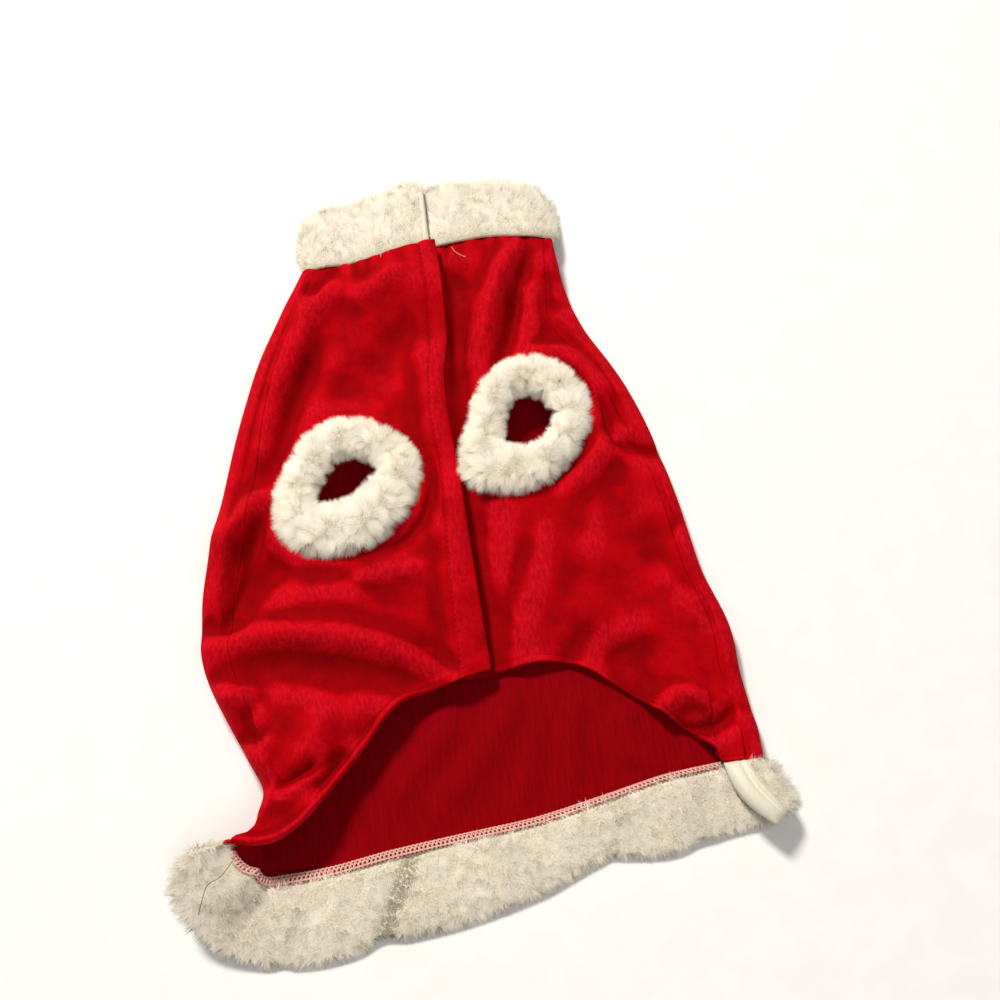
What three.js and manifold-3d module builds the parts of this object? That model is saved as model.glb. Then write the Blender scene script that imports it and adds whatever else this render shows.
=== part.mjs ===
// A small dog's festive coat in red velour with white faux-fur trim, laid flat on its back with the belly up.
// Every piece is a closed wall: the back with both sides wrapped over, two fronts that close down the middle,
// the doubled closing edge, the fur collar, a fur ring round each leg hole, and the fur band along the hem.
// Units are millimetres. +X runs across the coat, +Y runs along it to the neck, +Z is up from the surface.
// The origin is on that surface, under the front closure and halfway down the coat.

import * as THREE from "three";
import { mergeVertices } from "three/addons/utils/BufferGeometryUtils.js";
import Module from "manifold-3d";

const wasm = await Module();
wasm.setup();

// ---- Driving dimensions ----

const CLOTH = 1.5; // wall of the velour
const SEAM_GAP = 0.4; // clear gap between two pieces at a seam
const RING_GAP = 0.6; // and between a fur ring and the front under it, whose facets differ
const HEM_GAP = 0.6; // and between the hem band and the back
const TURNED_HEM = 2.2; // wall where an edge is turned under
const SIDE_ROUND = 8; // how far in from the outline a side fold rounds over
const LAYER_CLEARANCE = 2.6; // least height of an upper layer's middle over a lower one's
const SEAM_LIFT = 3.2; // the back rises this much to meet the middle of the fur at its ends
const SEAM_LIFT_SHARE = 0.045; // share of the coat's length in which it rises
const FUR_THICK = 8; // doubled fur strip, pile included
const RING_HIGH = 13; // fur ring above the front it is sewn to
const RING_SEAT = 0.3; // share of the ring's width that overhangs the leg hole
const UNDERLAP = 11; // the right front runs this far under the left one
const OVERLAP_RISE = 2.8; // and the left one rises by this to lie over it
const OVERLAP_FROM = -22; // x where that rise starts
const OVERLAP_FULL = -11; // and where it is full
const CLOSURE_SLANT = 0.24; // slope across the closure's lower end
const NECK_RISE = 7.4; // the rise at the neck, where the left front rides on the collar's covered end
const NECK_RISE_FROM = -52; // x where it starts there
const CHEST_Y = 105; // the neck's rise grows from here
const NECK_Y = 150; // to here
const LEAN_FULL = 6; // a fold that leans out by this falls evenly instead of rounding over
const LEAST_WRAP = 3; // least flat of the back's wrap before its side fold
const SEAM_BEND_SHARE = 0.1; // share of the coat's length in which a row bends to its end seam
const SPOT_REACH = 30; // reach of each spot height
const RING_CALM = 9; // folds grow back within this distance of a fur ring
const FOLD_OVERRUN = 0.15; // a fold dies away this share of its length past its ends
const FOLD_FULL = 0.25; // and is full this share inside them
const CUT_DEPTH = 60; // length of the tool that cuts a leg hole
const HEM_RUN_ON = 100; // the hem band runs on past the back by this for a share of 1

// Grid counts of the walls.
const ROWS = 24;
const FRONT_COLUMNS = 14;
const CLOSURE_COLUMNS = 2;
const RING_STATIONS = 30;
const COLLAR_STATIONS = 46;
const HEM_STATIONS = 52;

const RED = 0xb5060f;
const FUR_WHITE = 0xe9dfcc;
const BACKING_WHITE = 0xe6dcc6;

// ---- Tables ----

// Sections across the coat from neck to hem: the two side folds, and how far the back wraps in over each.
// A negative wrap leans outwards, and leftBack sets the wrap's end back towards the neck.
const SECTIONS = [
  { leftX: -71, leftY: 153, leftWrap: 7, leftBack: 0, rightX: 62, rightY: 157, rightWrap: 4 },
  { leftX: -83, leftY: 131, leftWrap: 9, leftBack: 0, rightX: 65, rightY: 128, rightWrap: 10 },
  { leftX: -96, leftY: 104, leftWrap: 11, leftBack: 0, rightX: 71, rightY: 104, rightWrap: 16 },
  { leftX: -105, leftY: 78, leftWrap: 12, leftBack: 0, rightX: 82, rightY: 80, rightWrap: 12 },
  { leftX: -113, leftY: 52, leftWrap: 14, leftBack: 0, rightX: 92, rightY: 54, rightWrap: 12 },
  { leftX: -120, leftY: 24, leftWrap: 15, leftBack: 0, rightX: 99, rightY: 26, rightWrap: 9 },
  { leftX: -126, leftY: -2, leftWrap: 15, leftBack: 0, rightX: 104, rightY: -4, rightWrap: 8 },
  { leftX: -131, leftY: -29, leftWrap: 14, leftBack: 0, rightX: 108, rightY: -36, rightWrap: 8 },
  { leftX: -131, leftY: -57, leftWrap: 13, leftBack: 0, rightX: 116, rightY: -66, rightWrap: 9 },
  { leftX: -122, leftY: -82, leftWrap: 12, leftBack: 0, rightX: 117, rightY: -90, rightWrap: 9 },
  { leftX: -112, leftY: -104, leftWrap: 9, leftBack: 0, rightX: 119, rightY: -108, rightWrap: 9 },
  { leftX: -106, leftY: -119, leftWrap: 8, leftBack: 0, rightX: 120, rightY: -117, rightWrap: 8 },
  { leftX: -109, leftY: -133, leftWrap: 6, leftBack: 3, rightX: 120, rightY: -124, rightWrap: 8 },
  { leftX: -109, leftY: -147, leftWrap: 0, leftBack: 9, rightX: 120, rightY: -128, rightWrap: 8 },
  { leftX: -112, leftY: -160, leftWrap: -9, leftBack: 18, rightX: 119, rightY: -131, rightWrap: 8 },
];

// Front edge of the closure from neck to belly, and the width of its doubled edge.
const CLOSURE = [
  { x: 0, y: 156, width: 9 },
  { x: 1, y: 128, width: 9 },
  { x: 0, y: 100, width: 9 },
  { x: -4, y: 76, width: 8 },
  { x: -4, y: 52, width: 9 },
  { x: -2, y: 28, width: 9 },
  { x: -1, y: -2, width: 11 },
  { x: 0, y: -28, width: 13 },
  { x: 1, y: -52, width: 14 },
  { x: 2, y: -75, width: 15 },
];

// The seams where the coat meets its collar and its hem band.
const NECK_SEAM = [
  { x: -76, y: 153 },
  { x: -50, y: 151.5 },
  { x: -24, y: 154 },
  { x: 2, y: 157 },
  { x: 28, y: 160 },
  { x: 62, y: 157 },
];
const HEM_SEAM = [
  { x: -112, y: -160 },
  { x: -82, y: -159 },
  { x: -52, y: -154.5 },
  { x: -20, y: -151 },
  { x: 14, y: -147.5 },
  { x: 46, y: -141 },
  { x: 76, y: -134.5 },
  { x: 119, y: -131 },
];

// Belly edges, from the closure out to each side.
const BELLY_LEFT = [
  { x: -27, y: -82 },
  { x: -40, y: -86 },
  { x: -50, y: -94 },
  { x: -60, y: -106 },
  { x: -71, y: -118 },
  { x: -85, y: -133 },
  { x: -97, y: -142 },
  { x: -108, y: -144.5 },
];
const BELLY_RIGHT = [
  { x: 8, y: -75 },
  { x: 27, y: -73 },
  { x: 44, y: -77 },
  { x: 60, y: -89 },
  { x: 76, y: -103 },
  { x: 89, y: -114 },
  { x: 99, y: -124 },
  { x: 101, y: -130.5 },
];

// Spot heights of the upper layer above the surface.
const HEIGHTS = [
  { x: -68, y: 152, high: 15 },
  { x: -32, y: 152, high: 16.5 },
  { x: -3, y: 152, high: 16.5 },
  { x: 30, y: 156, high: 17 },
  { x: 60, y: 150, high: 14 },
  { x: -90, y: 95, high: 12 },
  { x: -32, y: 95, high: 15 },
  { x: 14, y: 95, high: 16 },
  { x: 64, y: 95, high: 12 },
  { x: -60, y: 22, high: 14 },
  { x: -4, y: 35, high: 13 },
  { x: 34, y: 46, high: 14 },
  { x: -116, y: 10, high: 12 },
  { x: 94, y: 10, high: 11 },
  { x: -75, y: -45, high: 17 },
  { x: -8, y: -30, high: 12 },
  { x: 60, y: -45, high: 12 },
  { x: -46, y: -90, high: 15 },
  { x: -4, y: -72, high: 7 },
  { x: 40, y: -78, high: 5 },
  { x: 78, y: -106, high: 6 },
  { x: 112, y: -122, high: 11 },
  { x: -98, y: -128, high: 17 },
  { x: -120, y: -142, high: 23 },
  { x: -120, y: -70, high: 15 },
  { x: 108, y: -60, high: 12 },
];

// The largest folds of the upper layer: a straight or bowed run with a width and a height, troughs negative.
const FOLDS = [
  { fromX: -50, fromY: 143, toX: -98, toY: 50, bow: -5, width: 9, high: 4.5 }, // shoulder to side
  { fromX: -50, fromY: 131, toX: -86, toY: 58, bow: -3, width: 8, high: -3 },
  { fromX: -24, fromY: 128, toX: -46, toY: 74, bow: 0, width: 14, high: -3.5 }, // chest hollow
  { fromX: -12, fromY: 100, toX: -20, toY: 46, bow: 0, width: 10, high: 3 },
  { fromX: -92, fromY: 30, toX: -130, toY: -20, bow: 5, width: 9, high: 5 }, // under the left ring
  { fromX: -98, fromY: 8, toX: -126, toY: -34, bow: 3, width: 9, high: -5 },
  { fromX: -128, fromY: -45, toX: -26, toY: -60, bow: 5, width: 9, high: 5 }, // across the flank
  { fromX: -124, fromY: -61, toX: -24, toY: -73, bow: 3, width: 8, high: -4.5 },
  { fromX: -103, fromY: -97, toX: -70, toY: -100, bow: 0, width: 11, high: -4 }, // hip hollow
  { fromX: 39, fromY: 157, toX: 8, toY: 70, bow: -6, width: 9, high: 5 }, // beside the closure
  { fromX: 36, fromY: 124, toX: 24, toY: 86, bow: 0, width: 8, high: -4.5 },
  { fromX: 39, fromY: 93, toX: 73, toY: 40, bow: 8, width: 7, high: 4 }, // round the right ring
  { fromX: 63, fromY: -70, toX: 58, toY: -86, bow: 0, width: 9, high: -3 }, // waist
  { fromX: 76, fromY: -101, toX: 112, toY: -98, bow: 5, width: 8, high: 3 }, // knot at the hip
  { fromX: 84, fromY: -106, toX: 110, toY: -111, bow: 0, width: 7, high: -2.5 },
];

// Low ripples in the back where it lies on the surface.
const RIPPLES = [
  { fromX: -17, fromY: -88, toX: -53, toY: -130, bow: 3, width: 8, high: 3 },
  { fromX: 7, fromY: -86, toX: -33, toY: -138, bow: 3, width: 8, high: 2.5 },
  { fromX: 56, fromY: -98, toX: 54, toY: -130, bow: -2, width: 7, high: 2.5 },
];

// The collar's path round the neck, from the end that shows round the back to the end that is covered.
const COLLAR_PATH = [
  { x: -3, z: 24.2, thick: 6, top: 195 },
  { x: -14, z: 23.6, thick: 7.5, top: 196 },
  { x: -30, z: 19.8, thick: 8, top: 191 },
  { x: -46, z: 17.5, thick: 8, top: 190 },
  { x: -60, z: 16.8, thick: 8, top: 188 },
  { x: -68.5, z: 10.6, thick: 8, top: 185 },
  { x: -60, z: 4.4, thick: 8, top: 187 },
  { x: -36, z: 4, thick: 8, top: 190 },
  { x: -4, z: 4, thick: 8, top: 192 },
  { x: 28, z: 4, thick: 8, top: 192 },
  { x: 55, z: 4.4, thick: 8, top: 189 },
  { x: 63, z: 10.4, thick: 8, top: 184 },
  { x: 55, z: 16.6, thick: 8, top: 191 },
  { x: 38, z: 17.2, thick: 8, top: 195 },
  { x: 20, z: 17, thick: 8, top: 197 },
  { x: 4, z: 16.6, thick: 7, top: 197 },
  { x: -11, z: 16.4, thick: 5.5, top: 194 },
];

// The hem band's path, from its standing left end along the hem and over the right fold to its other end.
// seam is the share across the back's lower edge, which runs straight on past 1, and the free side is the
// fur's outer edge.
const HEM_PATH = [
  { seam: 0.055, x: -140, y: -144, z: 26 },
  { seam: 0.1, x: -148, y: -158, z: 23 },
  { seam: 0.17, x: -143, y: -173, z: 16 },
  { seam: 0.25, x: -130, y: -187, z: 8 },
  { seam: 0.3, x: -110, y: -195, z: 4 },
  { seam: 0.36, x: -86, y: -196, z: 4 },
  { seam: 0.42, x: -56, y: -191, z: 4 },
  { seam: 0.49, x: -24, y: -187, z: 4 },
  { seam: 0.56, x: 10, y: -179, z: 4 },
  { seam: 0.62, x: 40, y: -168, z: 4 },
  { seam: 0.68, x: 70, y: -169, z: 4 },
  { seam: 0.74, x: 98, y: -163, z: 4 },
  { seam: 0.8, x: 118, y: -161, z: 4.4 },
  { seam: 0.86, x: 126, y: -156, z: 9 },
  { seam: 0.94, x: 124, y: -158, z: 13.5 },
  { seam: 1.1, x: 113, y: -163, z: 15 },
];

// Each fur ring about its leg hole: the inner and outer edge of the fur at each angle from +X.
const LEFT_RING = {
  x: -59,
  y: 24,
  edge: [
    { angle: -165, inner: 14, outer: 34 },
    { angle: -137, inner: 16, outer: 40 },
    { angle: -107, inner: 10, outer: 38 },
    { angle: -60, inner: 9, outer: 34 },
    { angle: -18, inner: 10, outer: 35 },
    { angle: 14, inner: 19, outer: 39 },
    { angle: 42, inner: 17, outer: 36 },
    { angle: 80, inner: 15, outer: 34 },
    { angle: 112, inner: 12, outer: 32 },
    { angle: 150, inner: 9, outer: 28 },
  ],
};
const RIGHT_RING = {
  x: 34,
  y: 46,
  edge: [
    { angle: -161, inner: 13, outer: 35 },
    { angle: -138, inner: 15, outer: 43 },
    { angle: -120, inner: 14, outer: 39 },
    { angle: -95, inner: 13, outer: 35 },
    { angle: -60, inner: 12, outer: 30 },
    { angle: -23, inner: 12, outer: 29 },
    { angle: 14, inner: 14, outer: 33 },
    { angle: 50, inner: 16, outer: 36 },
    { angle: 82, inner: 17, outer: 36 },
    { angle: 115, inner: 14, outer: 32 },
    { angle: 150, inner: 11, outer: 28 },
    { angle: 180, inner: 11, outer: 29 },
  ],
};

// Half thickness of a fur strip across its width, as shares, from the sewn side to the free side.
const FUR_PROFILE = [
  { across: 0, half: 0.3 },
  { across: 0.08, half: 0.8 },
  { across: 0.22, half: 1 },
  { across: 0.6, half: 1 },
  { across: 0.84, half: 0.93 },
  { across: 0.96, half: 0.65 },
  { across: 1, half: 0.2 },
];

// Section of a fur ring, as shares of its width from the hole outwards and of its height.
const RING_PROFILE = [
  { across: 0.14, up: 0 },
  { across: 0.5, up: 0 },
  { across: 0.86, up: 0 },
  { across: 1, up: 0.4 },
  { across: 0.92, up: 0.8 },
  { across: 0.62, up: 1 },
  { across: 0.34, up: 0.97 },
  { across: 0.08, up: 0.72 },
  { across: 0, up: 0.36 },
];

// ---- Curves and heights ----

const mix = (a, b, t) => a + (b - a) * t;

// 0 below low, 1 above high, and smooth between them.
function smoothStep(low, high, value) {
  const t = Math.min(1, Math.max(0, (value - low) / (high - low)));
  return t * t * (3 - 2 * t);
}

// The point between b and c of a Catmull-Rom curve through a, b, c and d.
function catmullRom(a, b, c, d, t) {
  const slopeIn = (c - a) / 2;
  const slopeOut = (d - b) / 2;
  return (
    (2 * t ** 3 - 3 * t ** 2 + 1) * b +
    (t ** 3 - 2 * t ** 2 + t) * slopeIn +
    (3 * t ** 2 - 2 * t ** 3) * c +
    (t ** 3 - t ** 2) * slopeOut
  );
}

// One column of a table as a smooth function of t, from 0 at its first row to 1 at its last.
function column(rows, name) {
  return (t) => {
    const place = Math.min(1, Math.max(0, t)) * (rows.length - 1);
    const i = Math.min(rows.length - 2, Math.floor(place));
    const value = (k) => rows[Math.min(rows.length - 1, Math.max(0, k))][name];
    return catmullRom(value(i - 1), value(i), value(i + 1), value(i + 2), place - i);
  };
}

// All columns of a table as one function of t.
function stations(rows) {
  const names = Object.keys(rows[0]);
  const columns = names.map((name) => column(rows, name));
  return (t) => Object.fromEntries(names.map((name, k) => [name, columns[k](t)]));
}

const section = stations(SECTIONS);
const closure = stations(CLOSURE);
const collarStation = stations(COLLAR_PATH);
const hemStation = stations(HEM_PATH);

// y of a seam at x, level past its ends.
function seamAt(seam, x) {
  const i = Math.max(1, seam.findIndex((row, k) => row.x > x || k === seam.length - 1));
  const [a, b] = [seam[i - 1], seam[i]];
  const t = Math.min(1, Math.max(0, (x - a.x) / (b.x - a.x)));
  return catmullRom((seam[i - 2] ?? a).y, a.y, b.y, (seam[i + 1] ?? b).y, t);
}

const neckSeam = (x) => seamAt(NECK_SEAM, x);

// Inner and outer edge of a ring at an angle in degrees, round and round.
function ringEdge(ring, angle) {
  const rows = ring.edge;
  const turned = (a) => ((((a - rows[0].angle) % 360) + 360) % 360);
  const at = turned(angle);
  let i = rows.length - 1;
  while (i > 0 && turned(rows[i].angle) > at) i -= 1;
  const row = (k) => rows[(k + rows.length) % rows.length];
  const next = i + 1 < rows.length ? turned(rows[i + 1].angle) : 360;
  const t = (at - turned(rows[i].angle)) / (next - turned(rows[i].angle));
  const value = (name) =>
    catmullRom(row(i - 1)[name], row(i)[name], row(i + 1)[name], row(i + 2)[name], t);
  return { inner: value("inner"), outer: value("outer") };
}

// The summed height of soft folds at a point. Across its run each fold is a bell curve,
// and along it the fold rises and dies away.
function foldsAt(folds, x, y) {
  return folds.reduce((sum, fold) => {
    const [dx, dy] = [fold.toX - fold.fromX, fold.toY - fold.fromY];
    const length = Math.hypot(dx, dy);
    const along = ((x - fold.fromX) * dx + (y - fold.fromY) * dy) / length ** 2;
    const side = ((y - fold.fromY) * dx - (x - fold.fromX) * dy) / length;
    const off = side - 4 * fold.bow * along * (1 - along);
    const rise = smoothStep(-FOLD_OVERRUN, FOLD_FULL, along);
    const fade = rise * smoothStep(1 + FOLD_OVERRUN, 1 - FOLD_FULL, along);
    return sum + fold.high * fade * Math.exp(-((off / fold.width) ** 2));
  }, 0);
}

// 0 on a ring's seat and 1 clear of it, so that the front stays smooth under the fur.
function clearOfRing(ring, x, y) {
  const angle = THREE.MathUtils.radToDeg(Math.atan2(y - ring.y, x - ring.x));
  const { outer } = ringEdge(ring, angle);
  return smoothStep(outer, outer + RING_CALM, Math.hypot(x - ring.x, y - ring.y));
}

// Middle of the upper layer above the surface: spot heights blended by distance, and the folds on them.
function upperHeight(x, y) {
  let total = 0;
  let weights = 0;
  for (const spot of HEIGHTS) {
    const weight = Math.exp(-((Math.hypot(x - spot.x, y - spot.y) / SPOT_REACH) ** 2));
    total += weight * spot.high;
    weights += weight;
  }
  const base = total / weights;
  const calm = clearOfRing(LEFT_RING, x, y) * clearOfRing(RIGHT_RING, x, y);
  const high = base + calm * foldsAt(FOLDS, x, y);
  return Math.max(high, lowerHeight(x, y) + LAYER_CLEARANCE);
}

// Middle of the layer that lies on the surface.
function lowerHeight(x, y) {
  return CLOTH / 2 + foldsAt(RIPPLES, x, y);
}

// How far the lower layer rises at its ends, to meet the middle of the fur.
function seamLift(v) {
  return SEAM_LIFT * (smoothStep(SEAM_LIFT_SHARE, 0, v) + smoothStep(1 - SEAM_LIFT_SHARE, 1, v));
}

// Middle of the left front and the closing edge, which rise towards the closure to lie over the right front.
function leftHeight(x, y) {
  const rise = OVERLAP_RISE * smoothStep(OVERLAP_FROM, OVERLAP_FULL, x);
  const neckRise = NECK_RISE * smoothStep(NECK_RISE_FROM, OVERLAP_FULL, x);
  return upperHeight(x, y) + mix(rise, neckRise, smoothStep(CHEST_Y, NECK_Y, y));
}

// ---- Surfaces: each gives the middle of a wall for u across and v from neck to belly or hem ----

// Shares of u where the back's left wrap, left fold, floor, right fold and right wrap end.
const BACK_SPANS = { leftWrap: 0.06, leftFold: 0.25, floor: 0.75, rightFold: 0.94 };
const BACK_COLUMNS = [
  { until: BACK_SPANS.leftWrap, count: 2 },
  { until: BACK_SPANS.leftFold, count: 6 },
  { until: BACK_SPANS.floor, count: 16 },
  { until: BACK_SPANS.rightFold, count: 6 },
  { until: 1, count: 2 },
];

// y across one row of the back: a straight line between its folds, bent at each end to follow the seam there.
function rowY(row, v, x) {
  const line = (at) => mix(at.leftY, at.rightY, (x - at.leftX) / (at.rightX - at.leftX));
  const neckBend = neckSeam(x) - line(section(0));
  const hemBend = seamAt(HEM_SEAM, x) - line(section(1));
  const neckShare = smoothStep(SEAM_BEND_SHARE, 0, v);
  return line(row) + neckBend * neckShare + hemBend * smoothStep(1 - SEAM_BEND_SHARE, 1, v);
}

// One side of the back: over the wrap by flatShare, 0 at its end, and then round the fold by turn,
// which is 0 on top and pi on the floor. inward is 1 on the left and -1 on the right.
// The upper half of the fold is round, and it bulges outwards where it leans outwards.
function sidePoint(row, v, side, flatShare, turn) {
  const { foldX, wrap, back, inward } = side;
  const reach = Math.min(SIDE_ROUND, wrap - LEAST_WRAP);
  const topX = foldX + inward * reach;
  const topY = (x) => rowY(row, v, x) + back;
  if (turn === 0) {
    const x = mix(foldX + inward * wrap, topX, flatShare);
    return new THREE.Vector3(x, topY(x), upperHeight(x, topY(x)));
  }
  const half = turn < Math.PI / 2 ? reach : SIDE_ROUND;
  const x = foldX + inward * half * (half < 0 ? Math.sqrt(Math.cos(turn)) : 1 - Math.sin(turn));
  const y = rowY(row, v, x) + back * Math.cos(turn / 2) ** 4;
  const floorX = foldX + inward * SIDE_ROUND;
  const floorZ = lowerHeight(floorX, rowY(row, v, floorX)) + seamLift(v);
  const fall = mix((1 - Math.cos(turn)) / 2, turn / Math.PI, smoothStep(0, -LEAN_FULL, reach));
  return new THREE.Vector3(x, y, mix(upperHeight(topX, topY(topX)), floorZ, fall));
}

function backPoint(u, v) {
  const row = section(v);
  const left = { foldX: row.leftX, wrap: row.leftWrap, back: row.leftBack, inward: 1 };
  const right = { foldX: row.rightX, wrap: row.rightWrap, back: 0, inward: -1 };
  const { leftWrap, leftFold, floor, rightFold } = BACK_SPANS;
  if (u <= leftWrap) return sidePoint(row, v, left, u / leftWrap, 0);
  if (u < leftFold) return sidePoint(row, v, left, 1, (Math.PI * (u - leftWrap)) / (leftFold - leftWrap));
  if (u >= rightFold) return sidePoint(row, v, right, (1 - u) / (1 - rightFold), 0);
  if (u > floor) return sidePoint(row, v, right, 1, (Math.PI * (rightFold - u)) / (rightFold - floor));
  const across = (u - leftFold) / (floor - leftFold);
  const x = mix(row.leftX + SIDE_ROUND, row.rightX - SIDE_ROUND, across);
  const y = rowY(row, v, x);
  return new THREE.Vector3(x, y, lowerHeight(x, y) + seamLift(v));
}

// A smooth patch between four edges, each a function of 0 to 1 in plan.
function patch(side, middle, neck, belly, u, v) {
  const blend = (key) =>
    mix(side(v)[key], middle(v)[key], u) +
    mix(neck(u)[key], belly(u)[key], v) -
    mix(mix(neck(0)[key], neck(1)[key], u), mix(belly(0)[key], belly(1)[key], u), v);
  return { x: blend("x"), y: blend("y") };
}

// An edge through listed points between two given ends.
function edgeThrough(first, points, last) {
  return stations([first, ...points, last]);
}

// y along the closure, following the neck seam at its top and slanting across its squared lower end.
function closureY(x, v) {
  const slant = CLOSURE_SLANT * (x - closure(v).x) * smoothStep(1 - SEAM_BEND_SHARE, 1, v);
  return closure(v).y + (neckSeam(x) - closure(0).y) * smoothStep(SEAM_BEND_SHARE, 0, v) + slant;
}

const closureSeam = (v) => {
  const x = closure(v).x - closure(v).width;
  return { x, y: closureY(x, v) };
};

// A front's side edge: the end of the back's wrap, moved clear of it by the seam gap.
function sideEdge(u, inward) {
  return (v) => {
    const p = backPoint(u, v);
    const along = backPoint(u, Math.min(1, v + 1e-3)).sub(backPoint(u, Math.max(0, v - 1e-3)));
    const length = Math.hypot(along.x, along.y);
    return { x: p.x - (inward * SEAM_GAP * along.y) / length, y: p.y + (inward * SEAM_GAP * along.x) / length };
  };
}

const leftSide = sideEdge(0, 1);
const rightSide = sideEdge(1, -1);
const rightMiddle = (v) => ({ x: -UNDERLAP, y: mix(neckSeam(-UNDERLAP), -78, v) });

function neckEdge(from, to) {
  return (u) => {
    const x = mix(from.x, to.x, u);
    return { x, y: neckSeam(x) };
  };
}

const leftNeck = neckEdge(leftSide(0), closureSeam(0));
const leftBelly = edgeThrough(leftSide(1), [...BELLY_LEFT].reverse(), closureSeam(1));
const rightNeck = neckEdge(rightSide(0), rightMiddle(0));
const rightBelly = edgeThrough(rightSide(1), [...BELLY_RIGHT].reverse(), rightMiddle(1));

function frontLeftPoint(u, v) {
  const p = patch(leftSide, closureSeam, leftNeck, leftBelly, u, v);
  return new THREE.Vector3(p.x, p.y, leftHeight(p.x, p.y));
}

function closingEdgePoint(u, v) {
  const row = closure(v);
  const x = mix(row.x - row.width + SEAM_GAP, row.x, u);
  const y = closureY(x, v);
  return new THREE.Vector3(x, y, leftHeight(x, y));
}

function frontRightPoint(u, v) {
  const p = patch(rightSide, rightMiddle, rightNeck, rightBelly, u, v);
  return new THREE.Vector3(p.x, p.y, upperHeight(p.x, p.y));
}

// ---- Solids ----

// The unit normal of a height field over a point.
function heightNormal(high, { x, y }) {
  const step = 0.05;
  const slopeX = (high(x + step, y) - high(x - step, y)) / (2 * step);
  const slopeY = (high(x, y + step) - high(x, y - step)) / (2 * step);
  return new THREE.Vector3(-slopeX, -slopeY, 1).normalize();
}

// The unit normal of the back at (u, v): the upper layer's on its wraps, so that seams meet square,
// and from the surface's own slopes elsewhere.
function backNormal(u, v) {
  if (u <= BACK_SPANS.leftWrap || u >= BACK_SPANS.rightFold) return heightNormal(upperHeight, backPoint(u, v));
  const step = 1e-3;
  const across = backPoint(u + step, v).sub(backPoint(u - step, v));
  const along = backPoint(u, Math.min(1, v + step)).sub(backPoint(u, Math.max(0, v - step)));
  return across.cross(along).normalize();
}

// A closed geometry from points and triangles, turned to face outwards, with nothing below the surface.
function closedGeometry(points, triangles) {
  const grounded = points.map((p) => new THREE.Vector3(p.x, p.y, Math.max(0, p.z)));
  const volume = triangles.reduce((sum, [a, b, c]) => {
    const normal = new THREE.Vector3().crossVectors(grounded[b], grounded[c]);
    return sum + grounded[a].dot(normal);
  }, 0);
  const facing = volume < 0 ? triangles.map(([a, b, c]) => [a, c, b]) : triangles;
  const geometry = new THREE.BufferGeometry().setFromPoints(grounded);
  geometry.setIndex(facing.flat());
  geometry.computeVertexNormals();
  return geometry;
}

// Two triangles for the four corners of a grid cell.
const quad = (a, b, c, d) => [[a, b, c], [a, c, d]];

// A wall of cloth: the surface moved out by half its thickness both ways and closed round its rim.
function wall(point, normal, acrossShares, thickness = () => CLOTH) {
  const across = acrossShares.length;
  const points = [];
  for (const side of [0.5, -0.5]) {
    for (let j = 0; j <= ROWS; j += 1) {
      for (const u of acrossShares) {
        const v = j / ROWS;
        const out = normal(u, v).multiplyScalar(side * thickness(u, v));
        points.push(point(u, v).add(out));
      }
    }
  }
  const under = across * (ROWS + 1);
  const at = (i, j) => j * across + i;
  const triangles = [];
  for (let j = 0; j < ROWS; j += 1) {
    for (let i = 0; i < across - 1; i += 1) {
      const [a, b, c, d] = [at(i, j), at(i + 1, j), at(i + 1, j + 1), at(i, j + 1)];
      triangles.push(...quad(a, b, c, d), ...quad(under + a, under + d, under + c, under + b));
    }
  }
  const rim = [];
  for (let i = 0; i < across - 1; i += 1) rim.push(at(i, 0));
  for (let j = 0; j < ROWS; j += 1) rim.push(at(across - 1, j));
  for (let i = across - 1; i > 0; i -= 1) rim.push(at(i, ROWS));
  for (let j = ROWS; j > 0; j -= 1) rim.push(at(0, j));
  rim.forEach((a, k) => {
    const b = rim[(k + 1) % rim.length];
    triangles.push(...quad(b, a, under + a, under + b));
  });
  return closedGeometry(points, triangles);
}

const evenShares = (count) => Array.from({ length: count + 1 }, (_, i) => i / count);

function backShares() {
  const shares = [0];
  for (const span of BACK_COLUMNS) {
    const from = shares[shares.length - 1];
    for (let i = 1; i <= span.count; i += 1) shares.push(mix(from, span.until, i / span.count));
  }
  return shares;
}

// A solid swept through rings of points, joined to itself or closed with a fan at each end.
function swept(rings, joined) {
  const around = rings[0].length;
  const points = rings.flat();
  const triangles = [];
  const last = joined ? rings.length : rings.length - 1;
  for (let j = 0; j < last; j += 1) {
    for (let i = 0; i < around; i += 1) {
      const [a, b] = [j * around + i, j * around + ((i + 1) % around)];
      const next = ((j + 1) % rings.length) * around;
      triangles.push(...quad(a, b, next + ((i + 1) % around), next + i));
    }
  }
  if (!joined) {
    for (const end of [0, rings.length - 1]) {
      const middle = rings[end].reduce((sum, p) => sum.add(p), new THREE.Vector3()).divideScalar(around);
      points.push(middle);
      for (let i = 0; i < around; i += 1) {
        const [a, b] = [end * around + i, end * around + ((i + 1) % around)];
        triangles.push(end === 0 ? [points.length - 1, b, a] : [points.length - 1, a, b]);
      }
    }
  }
  return closedGeometry(points, triangles);
}

// A fur strip's ring of points between its sewn side and its free side.
function furSection(sewn, free, normal, thick) {
  const face = (side) =>
    FUR_PROFILE.map((row) =>
      sewn.clone().lerp(free, row.across).addScaledVector(normal, (side * row.half * thick) / 2),
    );
  return [...face(1), ...face(-1).reverse()];
}

// A fur strip along stations of { sewn, free, thick }, each t from 0 to 1.
function furStrip(station, count) {
  const middle = (t) => station(t).sewn.clone().lerp(station(t).free, 0.5);
  const rings = evenShares(count).map((t) => {
    const { sewn, free, thick } = station(t);
    const along = middle(Math.min(1, t + 2e-3)).sub(middle(Math.max(0, t - 2e-3)));
    const normal = along.cross(free.clone().sub(sewn)).normalize();
    return furSection(sewn, free, normal, thick);
  });
  return swept(rings, false);
}

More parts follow.
